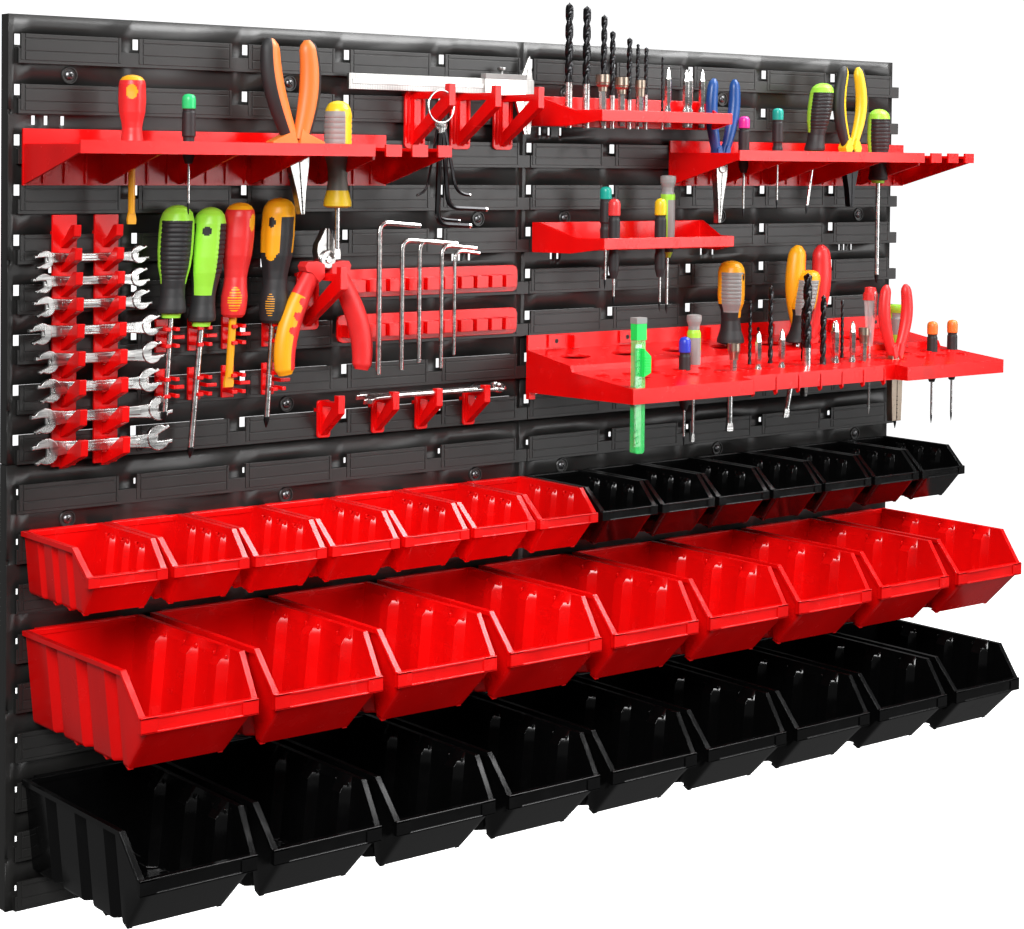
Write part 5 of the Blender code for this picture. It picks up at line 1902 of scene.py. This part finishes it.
@dataclass(frozen=True)
class Tester:
    """A clear mains tester with a red cap, upright in the tray."""

    at: Point = (0.412, -0.126, 0.0)

    def build(self) -> None:
        """Makes the clear body, the cap with its clip, the parts inside and the blade."""
        form = Form()
        form.lathe(
            [
                (0.066, 0.0), (0.066, 0.0034), (0.072, 0.0040), (0.080, 0.0046), (0.119, 0.0076),
                (0.120, 0.0),
            ],
            CLEAR, sides=8,
        )
        form.lathe(
            [
                (0.117, 0.0), (0.117, 0.0080), (0.124, 0.0080), (0.126, 0.0066), (0.131, 0.0062),
                (0.132, 0.0),
            ],
            RED_GRIP, sides=10,
        )
        form.lathe(
            [
                (0.086, 0.0), (0.086, 0.0016), (0.102, 0.0016), (0.102, 0.0026), (0.116, 0.0026),
                (0.116, 0.0),
            ],
            BRIGHT, sides=8,
        )
        form.lathe([(0.090, 0.0018), (0.090, 0.0024), (0.098, 0.0024), (0.098, 0.0018)], RED_GRIP, sides=8)
        form.box((-0.0020, -0.0080, 0.098), (0.0020, -0.0068, 0.127), BRIGHT)
        form.lathe(
            [
                (0.083, 0.0), (0.083, 0.0022), (0.070, 0.0022), (0.069, 0.0017), (-0.004, 0.0015),
                (-0.010, 0.0006), (-0.010, 0.0),
            ],
            BRIGHT, sides=10,
        )
        form.piece("mains_tester", "tool_tray", at=self.at)


@dataclass(frozen=True)
class Toolkit:
    """All the screwdrivers, pliers and wrenches."""

    def drivers(self) -> list[Driver]:
        """The screwdrivers of the shelves, the clips and the tray."""
        left, right = "long_shelf_left", "long_shelf_right"
        low, tray, board = "bit_shelf_lower", "tool_tray", "board"
        return [
            Driver(
                "red_insulated_driver", left, (-0.481, -0.060), 0.339, 0.268, 0.209, 0.0120, Grip.DOME,
                RED_GRIP,
                (Patch(AMBER, 0.0, 0.07), Patch(AMBER, 0.12, 0.30, FRONT - 12, 50.0, oval=True)),
                shaft=0.0031, metal=AMBER,
            ),
            slim("green_cap_driver", left, (-0.424, -0.060), 0.324, 0.217, GREEN_CAP),
            Driver(
                "stubby_driver", left, (-0.263, -0.060), 0.322, 0.222, 0.174, 0.0132, Grip.GUARDED,
                YELLOW,
                (
                    Patch(GREY, 0.10, 0.52, FRONT - 50, 130.0),
                    Patch(GREY, 0.10, 0.52, FRONT + 130, 120.0), Patch(GREY_DARK, 0.52, 0.84),
                ),
                (0.16, 0.46, 6), shaft=0.0024,
            ),
            Driver(
                "lime_driver_1", board, (-0.4213, -0.038), 0.225, 0.124, 0.030, 0.0160, Grip.LOBED, LIME,
                LIME_NEAR, (0.16, 0.66, 12), shaft=0.0024, lean=(0.067, 0.0), cross=True,
            ),
            Driver(
                "lime_driver_2", board, (-0.3868, -0.038), 0.223, 0.115, -0.004, 0.0155, Grip.LOBED, LIME,
                LIME_STRIP, (0.16, 0.60, 11), shaft=0.0030, lean=(0.092, 0.0), cross=True,
            ),
            Driver(
                "red_long_driver", board, (-0.3555, -0.038), 0.227, 0.122, 0.058, 0.0145, Grip.DOME,
                RED_GRIP, RED_LONG, shaft=0.0036, metal=AMBER, lean=(0.071, 0.0),
            ),
            Driver(
                "amber_long_driver", board, (-0.3127, -0.038), 0.231, 0.115, 0.018, 0.0158, Grip.DOME,
                AMBER, AMBER_LONG, lobes=0.09, shaft=0.0028, lean=(0.063, 0.0), cross=True,
            ),
            slim("pink_cap_driver", right, (0.277, -0.060), 0.319, 0.208, PINK_CAP),
            slim("shelf_green_cap_driver", right, (0.330, -0.060), 0.329, 0.217, TEAL_CAP),
            Driver(
                "lime_driver_3", right, (0.403, -0.060), 0.359, 0.279, 0.211, 0.0140, Grip.LOBED, LIME,
                LIME_PANEL, (0.16, 0.66, 10), shaft=0.0018, lean=(0.17, 0.0), cross=True,
            ),
            Driver(
                "lime_driver_4", right, (0.499, -0.060), 0.332, 0.246, 0.130, 0.0135, Grip.LOBED, LIME,
                LIME_PANEL, (0.16, 0.66, 10), shaft=0.0026, cross=True,
            ),
            slim("teal_cap_driver", low, (0.082, -0.052), 0.242, 0.135, TEAL_CAP),
            slim("red_cap_driver", low, (0.065, -0.084), 0.230, 0.120, RED_CAP, 0.082),
            slim("yellow_cap_driver", low, (0.130, -0.084), 0.230, 0.112, YELLOW, 0.082),
            Driver(
                "grey_flared_driver", low, (0.171, -0.052), 0.254, 0.166, 0.106, 0.0085, Grip.FLARED,
                LIME,
                (
                    Patch(GREY, 0.0, 0.23), Patch(GREY, 0.30, 0.80, FRONT + 40, 130.0),
                    Patch(RUBBER, 0.84, 0.93),
                ),
                shaft=0.0016, cross=True,
            ),
            slim("blue_cap_driver", tray, (0.1375, -0.115), 0.0875, -0.026, BLUE_CAP, 0.076),
            Driver(
                "grey_tray_driver", tray, (0.173, -0.092), 0.108, 0.026, -0.027, 0.0080, Grip.FLARED,
                GREY,
                (
                    Patch(LIME, 0.20, 0.46, FRONT, 360.0), Patch(GREY, 0.30, 0.60, FRONT - 20, 150.0),
                    Patch(LIME, 0.88, 0.96),
                ),
                shaft=0.0016,
            ),
            Driver(
                "amber_nut_driver", tray, (0.2645, -0.056), 0.161, 0.070, -0.026, 0.0150, Grip.GUARDED,
                AMBER,
                (
                    Patch(RUBBER, 0.52, 1.0), *GREY_PANEL, Patch(AMBER, 0.16, 0.68, FRONT + 42, 40.0),
                    # Painted shade: a dark oval stands for a recess in the handle.
                    Patch(PAINTED_RECESS_SHADE, 0.15, 0.24, FRONT + 42, 24.0, oval=True),
                ),
                (0.18, 0.50, 7), shaft=0.0035,
            ),
            Driver(
                "leaning_driver", tray, (0.372, -0.072), 0.149, 0.068, -0.014, 0.0142, Grip.GUARDED,
                AMBER, (Patch(RUBBER, 0.54, 1.0), *GREY_PANEL), (0.18, 0.50, 6), shaft=0.0030,
                lean=(0.22, 0.0),
            ),
            Driver(
                "lime_tray_driver", tray, (0.488, -0.100), 0.108, 0.040, -0.034, 0.0100, Grip.FLARED,
                LIME, (Patch(GREY, 0.14, 0.5, FRONT, 150.0),), shaft=0.0018, cross=True,
            ),
            slim("orange_cap_driver_1", tray, (0.5335, -0.115), 0.088, -0.030, ORANGE, 0.070),
            slim("orange_cap_driver_2", tray, (0.573, -0.112), 0.088, -0.030, ORANGE, 0.070),
        ]

    def pliers(self) -> list[Pliers]:
        """The pliers of the shelves and the tray."""
        return [
            Pliers(
                "orange_pliers", "long_shelf_left", (-0.309, -0.060), 0.377, 0.270, 0.216, 0.0200, RUBBER,
                ORANGE, bow=0.004, radius=0.0100, guard=0.0290, jaw_width=0.0115, lean=-0.09,
                streak=200.0,
            ),
            Pliers(
                "blue_pliers", "long_shelf_right", (0.2485, -0.052), 0.359, 0.262, 0.202, 0.0155, BLUE,
                BLUE, bow=0.004, radius=0.0066, guard=0.009, jaw_width=0.0085, lean=0.05, flat=0.85,
            ),
            Pliers(
                "yellow_pliers", "long_shelf_right", (0.450, -0.060), 0.379, 0.273, 0.219, 0.0110, RUBBER,
                YELLOW, jaw=OXIDE, bow=0.010, radius=0.0082, guard=0.014, jaw_width=0.0125, streak=190.0,
            ),
            Pliers(
                "insulated_pliers", "tool_tray", (0.378, -0.062), 0.176, 0.058, 0.006, 0.0180, RED_GRIP,
                RED_GRIP, bow=0.006, radius=0.0118, guard=0.016, lean=0.04, left=AMBER, flat=0.8,
            ),
            Pliers(
                "red_snips", "tool_tray", (0.441, -0.138), 0.134, 0.044, -0.018, 0.0155, RED_GRIP,
                RED_GRIP, jaw=BRONZE, bow=0.006, radius=0.0068, guard=0.008, jaw_width=0.0100, flat=0.85,
                blunt=0.75,
            ),
        ]

    def wrenches(self) -> list[Wrench]:
        """The eight wrenches on the racks, smallest on top, and the ring wrench on the small hooks."""
        rests = (
            (-0.5576, -0.4473, 0.1795, -0.0290), (-0.5603, -0.4476, 0.1593, -0.0307),
            (-0.5606, -0.4469, 0.1393, -0.0340), (-0.5649, -0.4360, 0.1162, -0.0340),
            (-0.5584, -0.4342, 0.0915, -0.0335), (-0.5566, -0.4365, 0.0668, -0.0336),
            (-0.5623, -0.4254, 0.0410, -0.0335), (-0.5616, -0.4257, 0.0145, -0.0340),
        )
        rack = [
            Wrench(f"open_wrench_{i + 1}", "wrench_rack_left", left, right, z, y, 0.0082 + 0.0034 * i / 7)
            for i, (left, right, z, y) in enumerate(rests)
        ]
        return [
            *rack,
            Wrench(
                "ring_wrench", "small_hook_2", -0.228, -0.046, 0.0400, -0.0460, 0.0088, ring=True,
                lean=-70.0,
            ),
        ]

    def build(self) -> None:
        """Makes every tool."""
        for tool in (*self.drivers(), *self.pliers(), *self.wrenches()):
            tool.build()


@dataclass(frozen=True)
class Studio:
    """A pale sweep of floor and wall, soft lights, and the camera."""

    eye: Point = (-1.3758, -1.6606, 0.2673)
    yaw: float = 37.891
    pitch: float = -1.647
    roll: float = 0.580
    lens: float = 73.19
    shift: tuple[float, float] = (0.0612, -0.2385)
    floor: float = -0.75
    wall: float = 7.0
    bend: float = 1.5
    surroundings: float = 0.12

    def camera(self) -> None:
        """Aims the camera by yaw, pitch and roll."""
        yaw, pitch, roll = (math.radians(v) for v in (self.yaw, self.pitch, self.roll))
        ahead = np.array(
            [math.sin(yaw) * math.cos(pitch), math.cos(yaw) * math.cos(pitch), math.sin(pitch)]
        )
        side = np.array([math.cos(yaw), -math.sin(yaw), 0.0])
        rise = np.cross(side, ahead)
        matrix = np.eye(4)
        matrix[:3, 0] = math.cos(roll) * side + math.sin(roll) * rise
        matrix[:3, 1] = math.cos(roll) * rise - math.sin(roll) * side
        matrix[:3, 2] = -ahead
        matrix[:3, 3] = self.eye
        data = bpy.data.cameras.new("camera")
        data.lens = self.lens
        data.shift_x, data.shift_y = self.shift
        data.clip_start, data.clip_end = 0.05, 50.0
        obj = bpy.data.objects.new("camera", data)
        bpy.context.scene.collection.objects.link(obj)
        obj.matrix_world = Matrix(matrix.tolist())
        bpy.context.scene.camera = obj

    def light(self, name: str, at: Point, aim: Point, size: float, power: float) -> None:
        """Adds a soft square light that faces a point."""
        data = bpy.data.lights.new(name, "AREA")
        data.shape, data.size, data.energy = "SQUARE", size, power
        obj = bpy.data.objects.new(name, data)
        bpy.context.scene.collection.objects.link(obj)
        away = np.subtract(at, aim)
        away /= np.linalg.norm(away)
        side = np.cross((0.0, 0.0, 1.0), away)
        side /= np.linalg.norm(side)
        matrix = np.eye(4)
        matrix[:3, :3] = np.stack([side, np.cross(away, side), away], axis=1)
        matrix[:3, 3] = at
        obj.matrix_world = Matrix(matrix.tolist())

    def sweep(self) -> None:
        """The backdrop: a floor that curves up into a wall some way behind the board."""
        wall, bend = self.wall, self.bend
        rise = arc((wall - bend, self.floor + bend), bend, -90, 0, 12)
        line = np.concatenate([[(-8.0, self.floor)], rise, [(wall, 8.0)]])
        across = np.linspace(-14.0, 14.0, 2)
        surface = np.empty((len(line), 2, 3))
        surface[..., 0] = across
        surface[..., 1:] = line[:, None]
        rows = np.arange(len(line) - 1)[:, None] * 2
        mesh = bpy.data.meshes.new("sweep")
        quads = (rows + np.array([[0, 1, 3, 2]])).tolist()
        mesh.from_pydata(surface.reshape(-1, 3).tolist(), [], quads)
        mesh.materials.append(BACKDROP.material())
        mesh.polygons.foreach_set("use_smooth", [True] * len(quads))
        obj = bpy.data.objects.new("sweep", mesh)
        bpy.context.scene.collection.objects.link(obj)
        obj.visible_diffuse = obj.visible_glossy = False

    def build(self) -> None:
        """Sets up the camera, the lights, the world's fill and the backdrop."""
        self.camera()
        self.sweep()
        self.light("key", (-2.4, -2.4, 1.7), (0.0, 0.0, 0.0), 1.5, 140.0)
        self.light("fill", (2.0, -2.6, 0.7), (0.1, 0.0, 0.0), 2.0, 54.0)
        self.light("top", (1.2, -0.75, 1.75), (0.1, -0.1, -0.1), 1.2, 68.0)
        self.light("wall_wash", (0.4, 0.55, 1.9), (0.4, 1.3, -0.2), 1.5, 20.0)
        world = bpy.data.worlds.new("studio")
        world.use_nodes = True
        background = world.node_tree.nodes["Background"]
        background.inputs["Color"].default_value = (1.0, 1.0, 1.0, 1.0)
        background.inputs["Strength"].default_value = self.surroundings
        bpy.context.scene.world = world
        bpy.context.scene.view_settings.view_transform = "Standard"


def main() -> None:
    """Builds every sub-assembly in order and reports it."""
    logging.basicConfig(level=logging.INFO, format="%(name)s: %(message)s")
    for row, level in enumerate(("lower", "upper")):
        for column, side in enumerate(("left", "right")):
            corner = ((column - 1) * PANEL_WIDTH, (row - 1) * PANEL_HEIGHT)
            Panel(f"panel_{level}_{side}", corner, slit=(0.0012, 0.0036)[row]).build()
    parts = (
        BinRows(), Holders(), Clips(), Toolkit(), Cutters(), Keys(), Caliper(), BitRows(), Knife(),
        Tester(), Studio(),
    )
    for part in parts:
        before = len(bpy.data.objects)
        part.build()
        LOG.info("%s: %d pieces", type(part).__name__, len(bpy.data.objects) - before)


if __name__ == "__main__":
    main()
